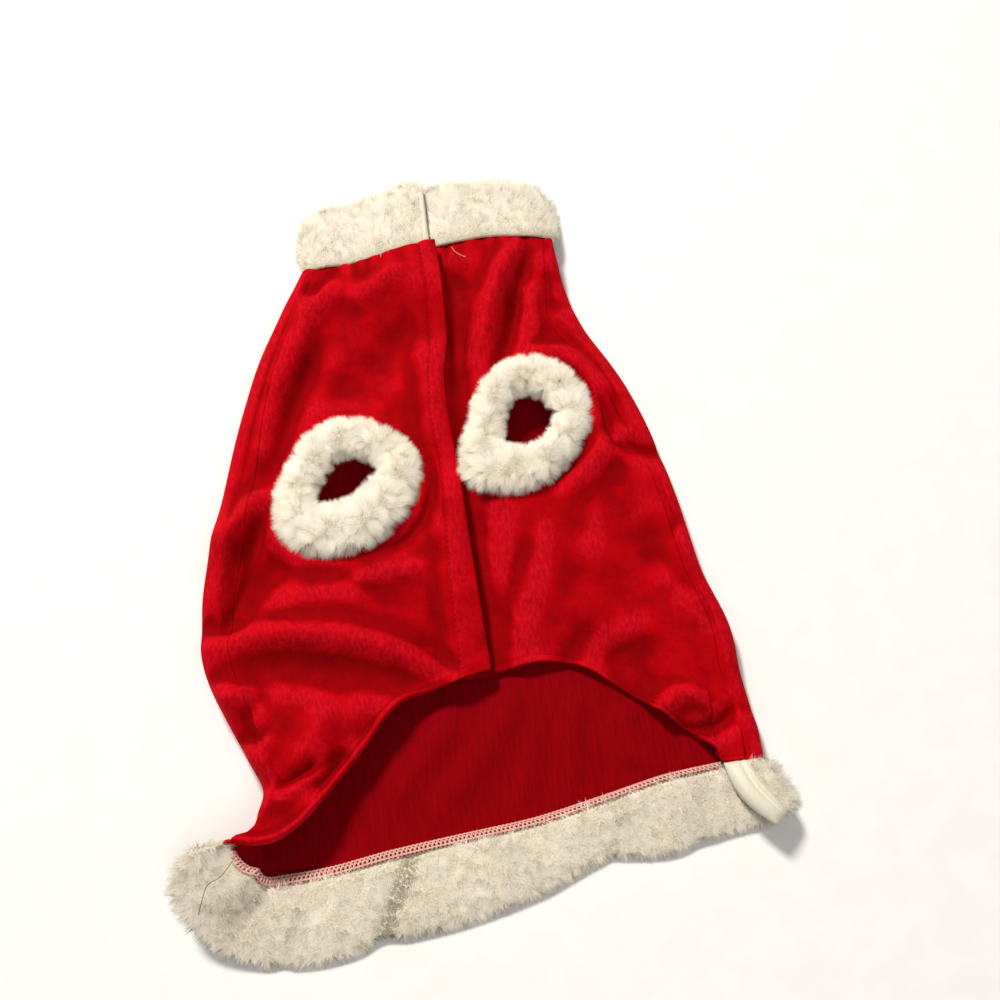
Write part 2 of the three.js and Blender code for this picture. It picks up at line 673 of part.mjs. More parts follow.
function collarStrip() {
  return furStrip((t) => {
    const row = collarStation(t);
    return {
      sewn: new THREE.Vector3(row.x, neckSeam(row.x) + SEAM_GAP, row.z),
      free: new THREE.Vector3(row.x, row.top, row.z),
      thick: row.thick,
    };
  }, COLLAR_STATIONS);
}

// The back's lower edge at a share across it, clear of it by the hem gap, and running straight on past 1.
function hemSewn(share) {
  const u = Math.min(1, share);
  const p = backPoint(u, 1);
  const onward = p.clone().sub(backPoint(u, 1 - 1e-3)).setLength(HEM_GAP);
  const past = Math.max(0, share - 1) * HEM_RUN_ON;
  const z = past > 0 ? upperHeight(p.x - past, p.y) : p.z;
  return new THREE.Vector3(p.x - past, p.y, z).add(onward);
}

function hemStrip() {
  return furStrip((t) => {
    const row = hemStation(t);
    return { sewn: hemSewn(row.seam), free: new THREE.Vector3(row.x, row.y, row.z), thick: FUR_THICK };
  }, HEM_STATIONS);
}

// A fur ring standing on its front, with its underside made from the front's own height.
function furRing(ring) {
  const rings = evenShares(RING_STATIONS)
    .slice(0, -1)
    .map((share) => {
      const angle = share * 360;
      const { inner, outer } = ringEdge(ring, angle);
      const turn = THREE.MathUtils.degToRad(angle);
      return RING_PROFILE.map((row) => {
        const radius = mix(inner, outer, row.across);
        const x = ring.x + radius * Math.cos(turn);
        const y = ring.y + radius * Math.sin(turn);
        const seat = upperHeight(x, y) + CLOTH / 2 + RING_GAP;
        return new THREE.Vector3(x, y, seat + row.up * RING_HIGH);
      });
    });
  return swept(rings, true);
}

// The upright tool that cuts a ring's leg hole through its front.
function holeCutter(ring) {
  const outline = evenShares(RING_STATIONS)
    .slice(0, -1)
    .map((share) => {
      const { inner, outer } = ringEdge(ring, share * 360);
      const radius = mix(inner, outer, RING_SEAT);
      const turn = share * 2 * Math.PI;
      return new THREE.Vector2(ring.x + radius * Math.cos(turn), ring.y + radius * Math.sin(turn));
    });
  return new THREE.ExtrudeGeometry(new THREE.Shape(outline), { depth: CUT_DEPTH, bevelEnabled: false });
}

// A geometry as a manifold solid, and back.
function toSolid(geometry) {
  const bare = geometry.clone();
  bare.deleteAttribute("normal");
  bare.deleteAttribute("uv");
  const merged = mergeVertices(bare, 1e-4);
  return new wasm.Manifold(
    new wasm.Mesh({
      numProp: 3,
      vertProperties: merged.attributes.position.array,
      triVerts: new Uint32Array(merged.index.array),
    }),
  );
}

function cut(geometry, cutter) {
  const mesh = toSolid(geometry).subtract(toSolid(cutter)).getMesh();
  const result = new THREE.BufferGeometry();
  result.setAttribute("position", new THREE.BufferAttribute(mesh.vertProperties, 3));
  result.setIndex(new THREE.BufferAttribute(mesh.triVerts, 1));
  result.computeVertexNormals();
  return result;
}

// ---- The coat ----

const coat = new THREE.Group();

function addPiece(name, geometry, color, roughness) {
  const material = new THREE.MeshStandardMaterial({ color, roughness, metalness: 0 });
  const mesh = new THREE.Mesh(geometry, material);
  mesh.name = name;
  coat.add(mesh);
}

const bellyHem = (u, v) => (v === 1 ? TURNED_HEM : CLOTH);
const closingHem = () => TURNED_HEM;
const upNormal = (point, high) => (u, v) => heightNormal(high, point(u, v));
const frontShares = evenShares(FRONT_COLUMNS);
const frontLeft = wall(frontLeftPoint, upNormal(frontLeftPoint, leftHeight), frontShares, bellyHem);
const frontRight = wall(frontRightPoint, upNormal(frontRightPoint, upperHeight), frontShares, bellyHem);
const closingShares = evenShares(CLOSURE_COLUMNS);
const closingEdge = wall(closingEdgePoint, upNormal(closingEdgePoint, leftHeight), closingShares, closingHem);

addPiece("back_panel", wall(backPoint, backNormal, backShares()), RED, 0.85);
addPiece("front_left", cut(frontLeft, holeCutter(LEFT_RING)), RED, 0.85);
addPiece("front_right", cut(frontRight, holeCutter(RIGHT_RING)), RED, 0.85);
addPiece("closing_edge", closingEdge, RED, 0.85);
addPiece("collar", collarStrip(), FUR_WHITE, 0.95);
addPiece("leg_ring_left", furRing(LEFT_RING), FUR_WHITE, 0.95);
addPiece("leg_ring_right", furRing(RIGHT_RING), FUR_WHITE, 0.95);
addPiece("hem_band", hemStrip(), BACKING_WHITE, 0.95);

export default coat;
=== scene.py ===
"""A small dog's festive coat in red velour with plush trim, laid flat on its back with the belly up.

The script is laid out as an add-on. Shapes are worked out in millimetres, in the frame of the
construction model, and turned into metres as each mesh is made.
"""

import math

import bpy
import numpy as np
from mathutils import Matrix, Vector


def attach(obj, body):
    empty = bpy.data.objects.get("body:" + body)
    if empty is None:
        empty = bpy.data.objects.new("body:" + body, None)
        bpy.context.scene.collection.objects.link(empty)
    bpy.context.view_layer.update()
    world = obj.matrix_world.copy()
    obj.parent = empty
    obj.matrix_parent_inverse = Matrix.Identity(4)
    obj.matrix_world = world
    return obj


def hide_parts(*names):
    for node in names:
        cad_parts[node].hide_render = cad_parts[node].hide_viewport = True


bl_info = {
    "name": "Festive dog coat",
    "version": (1, 0, 0),
    "blender": (4, 5, 0),
    "location": "View3D > Sidebar > Coat",
    "description": "Builds a velour dog coat with plush trim on its construction frame",
    "category": "Add Mesh",
}

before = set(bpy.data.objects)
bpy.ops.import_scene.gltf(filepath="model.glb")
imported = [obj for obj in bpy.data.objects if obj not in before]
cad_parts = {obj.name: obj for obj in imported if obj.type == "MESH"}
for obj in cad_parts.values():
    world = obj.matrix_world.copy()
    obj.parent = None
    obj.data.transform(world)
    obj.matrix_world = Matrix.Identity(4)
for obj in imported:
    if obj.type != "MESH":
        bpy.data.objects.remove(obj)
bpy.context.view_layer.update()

MM = 0.001  # metres in a millimetre


# ---- Tables, in millimetres ----
#
# Outline, closure, seams, edges, heights and leg rings are the construction model's own. The folds follow
# its folds, but are narrower and higher, and the last stations of the collar and the hem band stand out.


def table(columns, *rows):
    """Named columns from rows, as arrays."""
    return dict(zip(columns.split(), np.array(rows, dtype=float).T))


SECTIONS = table(
    "left_x left_y left_wrap left_back right_x right_y right_wrap",
    (-71, 153, 7, 0, 62, 157, 4),
    (-83, 131, 9, 0, 65, 128, 10),
    (-96, 104, 11, 0, 71, 104, 16),
    (-105, 78, 12, 0, 82, 80, 12),
    (-113, 52, 14, 0, 92, 54, 12),
    (-120, 24, 15, 0, 99, 26, 9),
    (-126, -2, 15, 0, 104, -4, 8),
    (-131, -29, 14, 0, 108, -36, 8),
    (-131, -57, 13, 0, 116, -66, 9),
    (-122, -82, 12, 0, 117, -90, 9),
    (-112, -104, 9, 0, 119, -108, 9),
    (-106, -119, 8, 0, 120, -117, 8),
    (-109, -133, 6, 3, 120, -124, 8),
    (-109, -147, 0, 9, 120, -128, 8),
    (-112, -160, -9, 18, 119, -131, 8),
)
CLOSURE = table(
    "x y width",
    (0, 156, 9),
    (1, 128, 9),
    (0, 100, 9),
    (-4, 76, 8),
    (-4, 52, 9),
    (-2, 28, 9),
    (-1, -2, 11),
    (0, -28, 13),
    (1, -52, 14),
    (2, -75, 15),
)
NECK_SEAM = table("x y", (-76, 153), (-50, 151.5), (-24, 154), (2, 157), (28, 160), (62, 157))
HEM_SEAM = table(
    "x y",
    (-112, -160),
    (-82, -159),
    (-52, -154.5),
    (-20, -151),
    (14, -147.5),
    (46, -141),
    (76, -134.5),
    (119, -131),
)
BELLY_LEFT = table(
    "x y",
    (-108, -144.5),
    (-97, -142),
    (-85, -133),
    (-71, -118),
    (-60, -106),
    (-50, -94),
    (-40, -86),
    (-27, -82),
)
BELLY_RIGHT = table(
    "x y",
    (101, -130.5),
    (99, -124),
    (89, -114),
    (76, -103),
    (60, -89),
    (44, -77),
    (27, -73),
    (8, -75),
)
HEIGHTS = table(
    "x y high",
    (-68, 152, 15),
    (-32, 152, 16.5),
    (-3, 152, 16.5),
    (30, 156, 17),
    (60, 150, 14),
    (-90, 95, 12),
    (-32, 95, 15),
    (14, 95, 16),
    (64, 95, 12),
    (-60, 22, 14),
    (-4, 35, 13),
    (34, 46, 14),
    (-116, 10, 12),
    (94, 10, 11),
    (-75, -45, 17),
    (-8, -30, 12),
    (60, -45, 12),
    (-46, -90, 15),
    (-4, -72, 7),
    (40, -78, 5),
    (78, -106, 6),
    (112, -122, 11),
    (-98, -128, 17),
    (-120, -142, 23),
    (-120, -70, 15),
    (108, -60, 12),
)
FOLD_COLUMNS = "from_x from_y to_x to_y bow width high"
MAIN_FOLDS = table(
    FOLD_COLUMNS,
    (-49, 149, -98, 39, -9, 8, 6.8),
    (-66, 106, -99, 23, -3, 8, -6.1),
    (-6, 123, -65, 74, 2, 13, -6.1),
    (-9, 99, -14, 42, 0, 8, 4.1),
    (-92, 30, -130, -31, -8, 7, 7.4),
    (-87, -4, -126, -47, 0, 9, -8.8),
    (-132, -49, -17, -76, 11, 6, 5.4),
    (-128, -64, -24, -87, 8, 9, -5),
    (41, 153, 13, 88, -2, 6.5, 6.8),
    (48, 150, 26, 82, 1, 5, -5.4),
    (44, 91, 76, 51, 9, 6, 5.4),
    (77, 42, 42, 15, 7, 7, 4.1),
    (64, -67, 69, -97, 0, 11, -5.4),
    (75, -107, 99, -101, 6, 5, 5.4),
    (79, -111, 113, -106, -6, 5, -6.1),
)
# Creases too fine for the construction model.
FINE_FOLDS = table(
    FOLD_COLUMNS,
    (-52, 149, -69, 134, 0, 5, -4.1),
    (-20, 143, -48, 131, 0, 7, 2.7),
    (-131, -70, -108, -78, 0, 6, 6),
    (-123, -86, -105, -98, 0, 6, -8),
    (-106, -80, -106, -117, 0, 4, 3.4),
    (-73, -82, -89, -112, 0, 9, 2.7),
    (-50, -88, -88, -118, 2, 7, -3.5),
    (-67, -106, -83, -123, 0, 4, -4.5),
    (-77, -112, -98, -125, 1, 3.5, 4),
    (-81, -109, -100, -120, 1, 4, -5),
    (-15, 29, -44, -10, 8, 5, -4.7),
    (-101, 16, -117, -42, 0, 8, -6.5),
    (-108, 14, -131, -22, -3, 4, 3.5),
    (-108, 62, -122, 8, 0, 5, -3.5),
    (-65, -26, -21, -19, 0, 6, 2.2),
    (-83, -11, -37, -37, 0, 8, -2),
    (-95, -32, -50, -34, 2, 5, 1.6),
    (-31, -57, -14, -73, 0, 3.5, -2.7),
    (43, 135, 47, 98, 0, 5, 3.4),
    (58, 140, 60, 112, 0, 6, -2.7),
    (51, 82, 71, 60, 0, 4, -4.7),
    (73, 62, 76, 34, 0, 4, -5.4),
    (75, 34, 102, -10, 15, 5, -5.4),
    (37, -2, 13, -66, 4, 8, 2.6),
    (25, -14, 7, -63, 0, 7, -3),
    (12, 5, 2, -57, 0, 6, 2.4),
    (67, 18, 55, -28, 0, 12, 1.5),
    (51, -58, 33, -81, 0, 8, -2.7),
    (82, -10, 100, -49, 0, 9, -2),
    (88, -32, 109, -75, 0, 8, 2),
    (79, -117, 97, -124, 0, 5, 2.7),
)
# The right front's dip beside the closure's edge.
GUTTERS = table(
    FOLD_COLUMNS,
    (9, 143, 6, 92, 0, 8, -6),
    (5, 100, 3, 10, 0, 7, -6),
    (3, 20, 4, -84, 0, 9, -8.5),
)
MAIN_RIPPLES = table(
    FOLD_COLUMNS,
    (-17, -88, -53, -130, 3, 8, 3),
    (14, -84, -33, -138, 3, 8, 2.5),
    (62, -98, 62, -128, -2, 7, 2.5),
    (40, -88, 30, -138, 0, 6, 2.4),
)
FINE_RIPPLES = table(
    FOLD_COLUMNS,
    (22, -94, 4, -142, 3, 5, 1.3),
    (67, -108, 73, -132, 0, 5, 1.2),
    (-60, -112, -76, -142, 2, 5, 1),
    (-38, -96, -62, -140, 2, 4, -0.6),
)
COLLAR_PATH = table(
    "x z thick top",
    (-3, 24.2, 6, 195),
    (-14, 23.6, 7.5, 196),
    (-30, 19.8, 8, 191),
    (-46, 17.5, 8, 190),
    (-60, 16.8, 8, 188),
    (-68.5, 10.6, 8, 185),
    (-60, 4.4, 8, 187),
    (-36, 4, 8, 190),
    (-4, 4, 8, 192),
    (28, 4, 8, 192),
    (55, 4.4, 8, 189),
    (63, 10.4, 8, 184),
    (55, 16.6, 8, 191),
    (38, 17.4, 8, 195),
    (20, 17.8, 8, 197),
    (4, 18.4, 7, 197),
    (-11, 16.8, 5, 194),
)
HEM_PATH = table(
    "seam x y z",
    (0.055, -140, -144, 26),
    (0.1, -148, -158, 23),
    (0.17, -143, -173, 16),
    (0.25, -130, -187, 8),
    (0.3, -110, -195, 4),
    (0.36, -86, -196, 4),
    (0.42, -56, -191, 4),
    (0.49, -24, -187, 4),
    (0.56, 10, -179, 4),
    (0.62, 40, -168, 4),
    (0.68, 70, -169, 4),
    (0.74, 98, -163, 4),
    (0.8, 118, -161, 4.4),
    (0.86, 128, -156, 9),
    (0.94, 129, -157, 13.5),
    (1.1, 120, -165, 15),
)
# Creases across the hem band: x at its sewn and its free side, half width, share of its thickness.
HEM_CREASES = table(
    "sewn free wide deep",
    (-44, -60, 7, 0.65),
    (-94, -104, 4, 0.3),
    (50, 44, 4, 0.28),
    (88, 84, 5, 0.25),
)
LIGHT_END = table("x y z", (8.5, 155.5, 18), (9.5, 151.5, 20), (12, 148.5, 20.5), (15, 147, 20))
DARK_END = table(
    "x y z",
    (-118, -150, 27),
    (-124, -157, 27.5),
    (-130, -160, 27),
    (-133, -166, 25),
    (-135, -171, 23),
)
LEFT_RING = {
    "centre": (-59, 24),
    "edge": table(
        "angle inner outer",
        (-165, 14, 34),
        (-137, 16, 40),
        (-107, 10, 38),
        (-60, 9, 34),
        (-18, 10, 35),
        (14, 19, 39),
        (42, 17, 36),
        (80, 15, 34),
        (112, 12, 32),
        (150, 9, 28),
    ),
}
RIGHT_RING = {
    "centre": (34, 46),
    "edge": table(
        "angle inner outer",
        (-161, 13, 35),
        (-138, 15, 43),
        (-120, 14, 39),
        (-95, 13, 35),
        (-60, 12, 30),
        (-23, 12, 29),
        (14, 14, 33),
        (50, 16, 36),
        (82, 17, 36),
        (115, 14, 32),
        (150, 11, 28),
        (180, 11, 29),
    ),
}

# Single sizes, in millimetres, and shares. Those down to HEM_RUN_ON are the construction model's own.
SIDE_ROUND = 8  # how far in from the outline a side fold rounds over
LAYER_CLEARANCE = 2.6  # least height of an upper layer's middle over a lower one's
SEAM_LIFT = 3.2  # the back rises this much to meet the middle of the fur at its ends
SEAM_LIFT_SHARE = 0.045  # share of the coat's length in which it rises
SEAM_BEND_SHARE = 0.1  # share of the coat's length in which a row bends to its end seam
UNDERLAP = 11  # the right front runs this far under the left one
OVERLAP_RISE = 2.8  # and the left one rises by this to lie over it
OVERLAP_FROM = -22  # x where that rise starts
OVERLAP_FULL = -11  # and where it is full
CLOSURE_SLANT = 0.24  # slope across the closure's lower end
NECK_RISE = 7.4  # the rise at the neck, where the left front rides on the collar's covered end
NECK_RISE_FROM = -52  # x where it starts there
CHEST_Y = 105  # the neck's rise grows from here
NECK_Y = 150  # to here
LEAN_FULL = 6  # a fold that leans out by this falls evenly instead of rounding over
LEAST_WRAP = 3  # least flat of the back's wrap before its side fold
RING_CALM = 9  # folds grow back within this distance of a fur ring
RING_HIGH = 13  # fur ring above the front it is sewn to
RING_SEAT = 0.3  # share of the ring's width that overhangs the leg hole
SPOT_REACH = 30  # reach of each spot height
FOLD_OVERRUN = 0.15  # a fold dies away this share of its length past its ends
FOLD_FULL = 0.25  # and is full this share inside them
BACK_SPANS = (0.06, 0.25, 0.75, 0.94)  # shares where left wrap, left fold, floor and right fold end
HEM_RUN_ON = 100  # the hem band runs on past the back by this for a share of 1

BACK_GRID = (200, 300)  # rough width and length of the back, for the spacing of its grid
LEFT_GRID = (105, 265)  # the same for the left front
RIGHT_GRID = (115, 255)  # and for the right one
CLOSING_WIDTH = 11  # rough width of the closing edge
HEM_LENGTH = 300  # rough length of the hem band
LEAST_SPREAD = 120  # least distance down a front from the neck seam's row to its belly edge
RIGHT_BELLY_END = -78  # y where the right front's underlap ends at the belly
CROWN_HIGH = 0.7  # rise of the closing edge's middle
ROLL_HIGH = 3.2  # rise of the left belly edge's rolled lip
ROLL_MIDDLE = 4.5  # distance of its top from the edge
ROLL_WIDE = 3.6  # and its half width
CREST_MOST = 0.25  # depth of crests and hollows past which their painted highlight or painted shade stays the same
HEM_WALL = 8  # thickness of the hem band, its pile included
SEWN_SIDE_SHARE = 0.4  # share of strands right by a sewn side
COLLAR_BARE = 4  # length of the collar's bare end
TAB_BARE = 10.5  # length of the bare tab that ends the hem band
TAB_PADDING = 4.5  # how much thicker it is
TAB_SEAM = 7.6  # distance of the seam across it from its end
TAB_RIM = 5.5  # length of its rounded end
TAB_BOW = 4.5  # how far its middle runs ahead of its sides
WORN_SHADED_PATCH = (-122, -171, 12)  # x, y and radius of the patch inside the hem band's standing end where the pile is shorter from wear and painted darker as shade
OVERLOCK_SPAN = (0.1, 0.78)  # shares across the back where the overlock starts and ends
PLAIN_RADIUS = 0.2  # radius of the closure's stitches
LOOSE_RADIUS = 0.16  # and of the loose thread ends
FLOOR_REACH = 3000.0  # from the middle of the floor to its sides
FLOOR_DROP = 0.05  # how far the floor lies under the coat, so that their faces never coincide


# ---- Settings: the sizes and colours that an operator reads ----


def length_property(name, description, default):
    """A length property, in metres."""
    return bpy.props.FloatProperty(name=name, description=description, default=default, unit="LENGTH")


def angle_property(name, description, degrees):
    """An angle property, which Blender holds in radians."""
    default = math.radians(degrees)
    return bpy.props.FloatProperty(name=name, description=description, default=default, unit="ROTATION")


def count_property(name, description, default):
    """A whole number property."""
    return bpy.props.IntProperty(name=name, description=description, default=default, min=8)


def colour_property(name, description, default):
    """A colour property, in linear red, green and blue."""
    return bpy.props.FloatVectorProperty(
        name=name, description=description, default=default, min=0, max=1, subtype="COLOR"
    )


class ClothSettings(bpy.types.PropertyGroup):
    """Sizes of the velour."""

    thickness: length_property("Cloth", "Wall of the velour", 0.0015)
    turned: length_property("Turned hem", "Wall where an edge is turned under", 0.0024)
    hem_width: length_property("Hem width", "Width of the turned belly hem", 0.0048)
    step: length_property("Grid step", "Distance between points of a cloth grid", 0.0016)
    groove: length_property("Stitch groove", "Depth that a row of stitches pulls in", 0.0007)


class FurSettings(bpy.types.PropertyGroup):
    """Sizes of the plush."""

    pile: length_property("Pile", "Length of a strand", 0.006)
    blade: length_property("Strand width", "Width of a strand at its root", 0.00036)
    tuft: length_property("Tuft", "Distance between the middles of tufts", 0.0036)
    inset: length_property("Core inset", "Depth of the backing under the fur's outer surface", 0.0022)
    collar_strands: count_property("Collar strands", "Strands on the collar", 66000)
    ring_strands: count_property("Ring strands", "Strands on each leg ring", 44000)
    hem_strands: count_property("Hem strands", "Strands on the hem band", 66000)


class StitchSettings(bpy.types.PropertyGroup):
    """Sizes of the sewing."""

    thread: length_property("Thread", "Radius of the overlock thread", 0.0006)
    overlock_width: length_property("Overlock width", "Width of the overlock seam", 0.0066)
    overlock_pitch: length_property("Overlock pitch", "Distance between overlock stitches", 0.00195)
    plain_pitch: length_property("Plain pitch", "Length of one plain stitch and its gap", 0.0028)


class StageSettings(bpy.types.PropertyGroup):
    """The camera."""

    elevation: angle_property("Elevation", "Camera's height angle", 66)
    azimuth: angle_property("Azimuth", "Camera's turn about the upright", -7)
    distance: length_property("Distance", "Camera's distance from its target", 0.694)
    target_x: length_property("Target X", "Target across the coat", 0.017)
    target_y: length_property("Target Y", "Target along the coat", 0.015)
    lens: bpy.props.FloatProperty(
        name="Lens", description="Focal length in millimetres on a 36 mm sensor", default=50, unit="CAMERA"
    )


class ColourSettings(bpy.types.PropertyGroup):
    """The colours of the cloth, the plush and the threads."""

    velour: colour_property("Velour", "Velour's nap", (0.43, 0.0002, 0.0035))
    # Painted highlight: the velour's colour on the crests of folds, standing in for the sheen that they
    # catch.
    crest: colour_property("Velour crest", "Nap on the crests of folds", (0.78, 0.006, 0.022))
    # Painted shade: the velour's colour in the hollows of folds, where shade falls.
    hollow_shade: colour_property("Velour hollow", "Nap in the hollows of folds", (0.17, 0.0, 0.001))
    inside: colour_property("Inside", "The velour's knitted wrong side", (0.26, 0.0002, 0.0035))
    fur_tip: colour_property("Plush tip", "Tips of the strands", (0.92, 0.88, 0.77))
    # Painted shade: the roots are much darker than the tips, standing in for the shade deep in the pile.
    fur_root_shade: colour_property("Plush root", "Roots of the strands", (0.52, 0.45, 0.34))
    ground: colour_property("Plush ground", "Knit under the pile", (0.71, 0.645, 0.52))
    bare_ground: colour_property("Bare ground", "Knit of the bare turned ends", (0.73, 0.69, 0.555))
    overlock_dark: colour_property("Overlock dark", "The overlock's darker thread", (0.62, 0.20, 0.16))
    overlock_light: colour_property("Overlock light", "The overlock's lighter thread", (0.84, 0.56, 0.46))
    loose: colour_property("Loose thread", "The dark loose thread end", (0.15, 0.045, 0.04))


def colour(name, share=1.0):
    """One of the coat's colours, darker or lighter by a share."""
    return tuple(share * part for part in getattr(bpy.context.scene.coat_colours, name))


def settings(name):
    """One settings group, with its lengths in millimetres."""
    group = getattr(bpy.context.scene, name)
    sizes = {}
    for key, prop in group.bl_rna.properties.items():
        if key in ("rna_type", "name"):
            continue
        value = getattr(group, key)
        sizes[key] = value / MM if prop.unit == "LENGTH" else value
    return sizes


# ---- Curves and heights, all on whole arrays ----


def mix(a, b, t):
    """a where t is 0, b where it is 1, and in proportion between them."""
    return a + (b - a) * t


def smooth(low, high, value):
    """0 below low, 1 above high, and smooth between them."""
    t = np.clip((value - low) / (high - low), 0, 1)
    return t * t * (3 - 2 * t)


def catmull_rom(a, b, c, d, t):
    """The point between b and c of a Catmull-Rom curve through a, b, c and d."""
    slope_in, slope_out = (c - a) / 2, (d - b) / 2
    return (
        (2 * t**3 - 3 * t**2 + 1) * b
        + (t**3 - 2 * t**2 + t) * slope_in
        + (3 * t**2 - 2 * t**3) * c
        + (t**3 - t**2) * slope_out
    )


def column(values, t):
    """One column of a table as a smooth curve, from 0 at its first row to 1 at its last."""
    place = np.clip(t, 0, 1) * (len(values) - 1)
    i = np.minimum(place.astype(int), len(values) - 2)
    ends = np.concatenate([values[:1], values, values[-1:]])
    return catmull_rom(ends[i], ends[i + 1], ends[i + 2], ends[i + 3], place - i)


def seam_at(seam, x):
    """y of a seam at x, level past its ends."""
    xs, ys = seam["x"], seam["y"]
    i = np.clip(np.searchsorted(xs, x, side="right"), 1, len(xs) - 1)
    t = np.clip((x - xs[i - 1]) / (xs[i] - xs[i - 1]), 0, 1)
    ends = np.concatenate([ys[:1], ys, ys[-1:]])
    return catmull_rom(ends[i - 1], ends[i], ends[i + 1], ends[i + 2], t)


def ring_edge(ring, angle, name):
    """The inner or outer edge of a ring at angles in degrees, round and round."""
    angles, values = ring["edge"]["angle"], ring["edge"][name]
    turned = (angles - angles[0]) % 360
    at = (angle - angles[0]) % 360
    i = np.searchsorted(turned, at, side="right") - 1
    closed = np.append(turned, 360)
    t = (at - closed[i]) / (closed[i + 1] - closed[i])
    row = [values[(i + k) % len(values)] for k in (-1, 0, 1, 2)]
    return catmull_rom(*row, t)


def ring_polar(ring, x, y):
    """Distance and angle in degrees of points from a ring's centre."""
    dx, dy = x - ring["centre"][0], y - ring["centre"][1]
    return np.hypot(dx, dy), np.degrees(np.arctan2(dy, dx))


def folds_at(folds, x, y, crest=2.0):
    """The summed height of folds: a bell curve across each run, rising and dying away along it.

    A crest under 2 makes the bell's top sharper.
    """
    total = np.zeros_like(x, dtype=float)
    for fx, fy, tx, ty, bow, width, high in zip(*(folds[name] for name in FOLD_COLUMNS.split())):
        dx, dy = tx - fx, ty - fy
        length = math.hypot(dx, dy)
        along = ((x - fx) * dx + (y - fy) * dy) / length**2
        side = ((y - fy) * dx - (x - fx) * dy) / length
        off = side - 4 * bow * along * (1 - along)
        fade = smooth(-FOLD_OVERRUN, FOLD_FULL, along) * smooth(1 + FOLD_OVERRUN, 1 - FOLD_FULL, along)
        total += high * fade * np.exp(-(np.abs(off / width) ** crest))
    return total


def clear_of_ring(ring, x, y):
    """0 on a ring's seat and 1 clear of it."""
    far, angle = ring_polar(ring, x, y)
    outer = ring_edge(ring, angle, "outer")
    return smooth(outer, outer + RING_CALM, far)


def unevenness(x, y):
    """Slight waves that no cloth is free of, about a third of a millimetre high."""
    long_wave = np.sin(x / 9.1 + 1.7 * np.sin(y / 23.0)) * np.sin(y / 13.3 + 0.9 * np.sin(x / 17.0))
    short_wave = np.sin(x / 4.3 + y / 9.7) * np.sin(y / 6.1 - x / 15.1)
    return 0.32 * long_wave + 0.14 * short_wave


def seam_pucker(x, y):
    """Small gathers running down from the collar seam."""
    below = np.maximum(seam_at(NECK_SEAM, x) - y, 0)
    wave = np.sin(x / 1.35 + 1.1 * np.sin(x / 6.0)) + 0.6 * np.sin(x / 2.9 + 2.0)
    return 0.4 * wave * np.exp(-below / 6.0)


def lower_height(x, y):
    """Middle of the layer that lies on the surface."""
    half = settings("coat_cloth")["thickness"] / 2
    return half + np.maximum(folds_at(MAIN_RIPPLES, x, y) + folds_at(FINE_RIPPLES, x, y), 0)


def upper_height(x, y):
    """Middle of the upper layer: spot heights blended by distance, and the folds on them."""
    total = np.zeros_like(x, dtype=float)
    weights = np.zeros_like(x, dtype=float)
    for sx, sy, high in zip(HEIGHTS["x"], HEIGHTS["y"], HEIGHTS["high"]):
        weight = np.exp(-((np.hypot(x - sx, y - sy) / SPOT_REACH) ** 2))
        total += weight * high
        weights += weight
    calm = clear_of_ring(LEFT_RING, x, y) * clear_of_ring(RIGHT_RING, x, y)
    folds = folds_at(MAIN_FOLDS, x, y) + folds_at(FINE_FOLDS, x, y, 1.5)
    folds = folds + unevenness(x, y) + seam_pucker(x, y)
    return np.maximum(total / weights + calm * folds, lower_height(x, y) + LAYER_CLEARANCE)


def left_height(x, y):
    """Middle of the left front, which rises towards the closure to lie over the right one."""
    rise = OVERLAP_RISE * smooth(OVERLAP_FROM, OVERLAP_FULL, x)
    neck_rise = NECK_RISE * smooth(NECK_RISE_FROM, OVERLAP_FULL, x)
    return upper_height(x, y) + mix(rise, neck_rise, smooth(CHEST_Y, NECK_Y, y))


def seam_lift(v):
    """How far the lower layer rises at its ends, to meet the middle of the fur."""
    return SEAM_LIFT * (smooth(SEAM_LIFT_SHARE, 0, v) + smooth(1 - SEAM_LIFT_SHARE, 1, v))


# ---- Surfaces: middles of walls for u across and v from the neck down ----


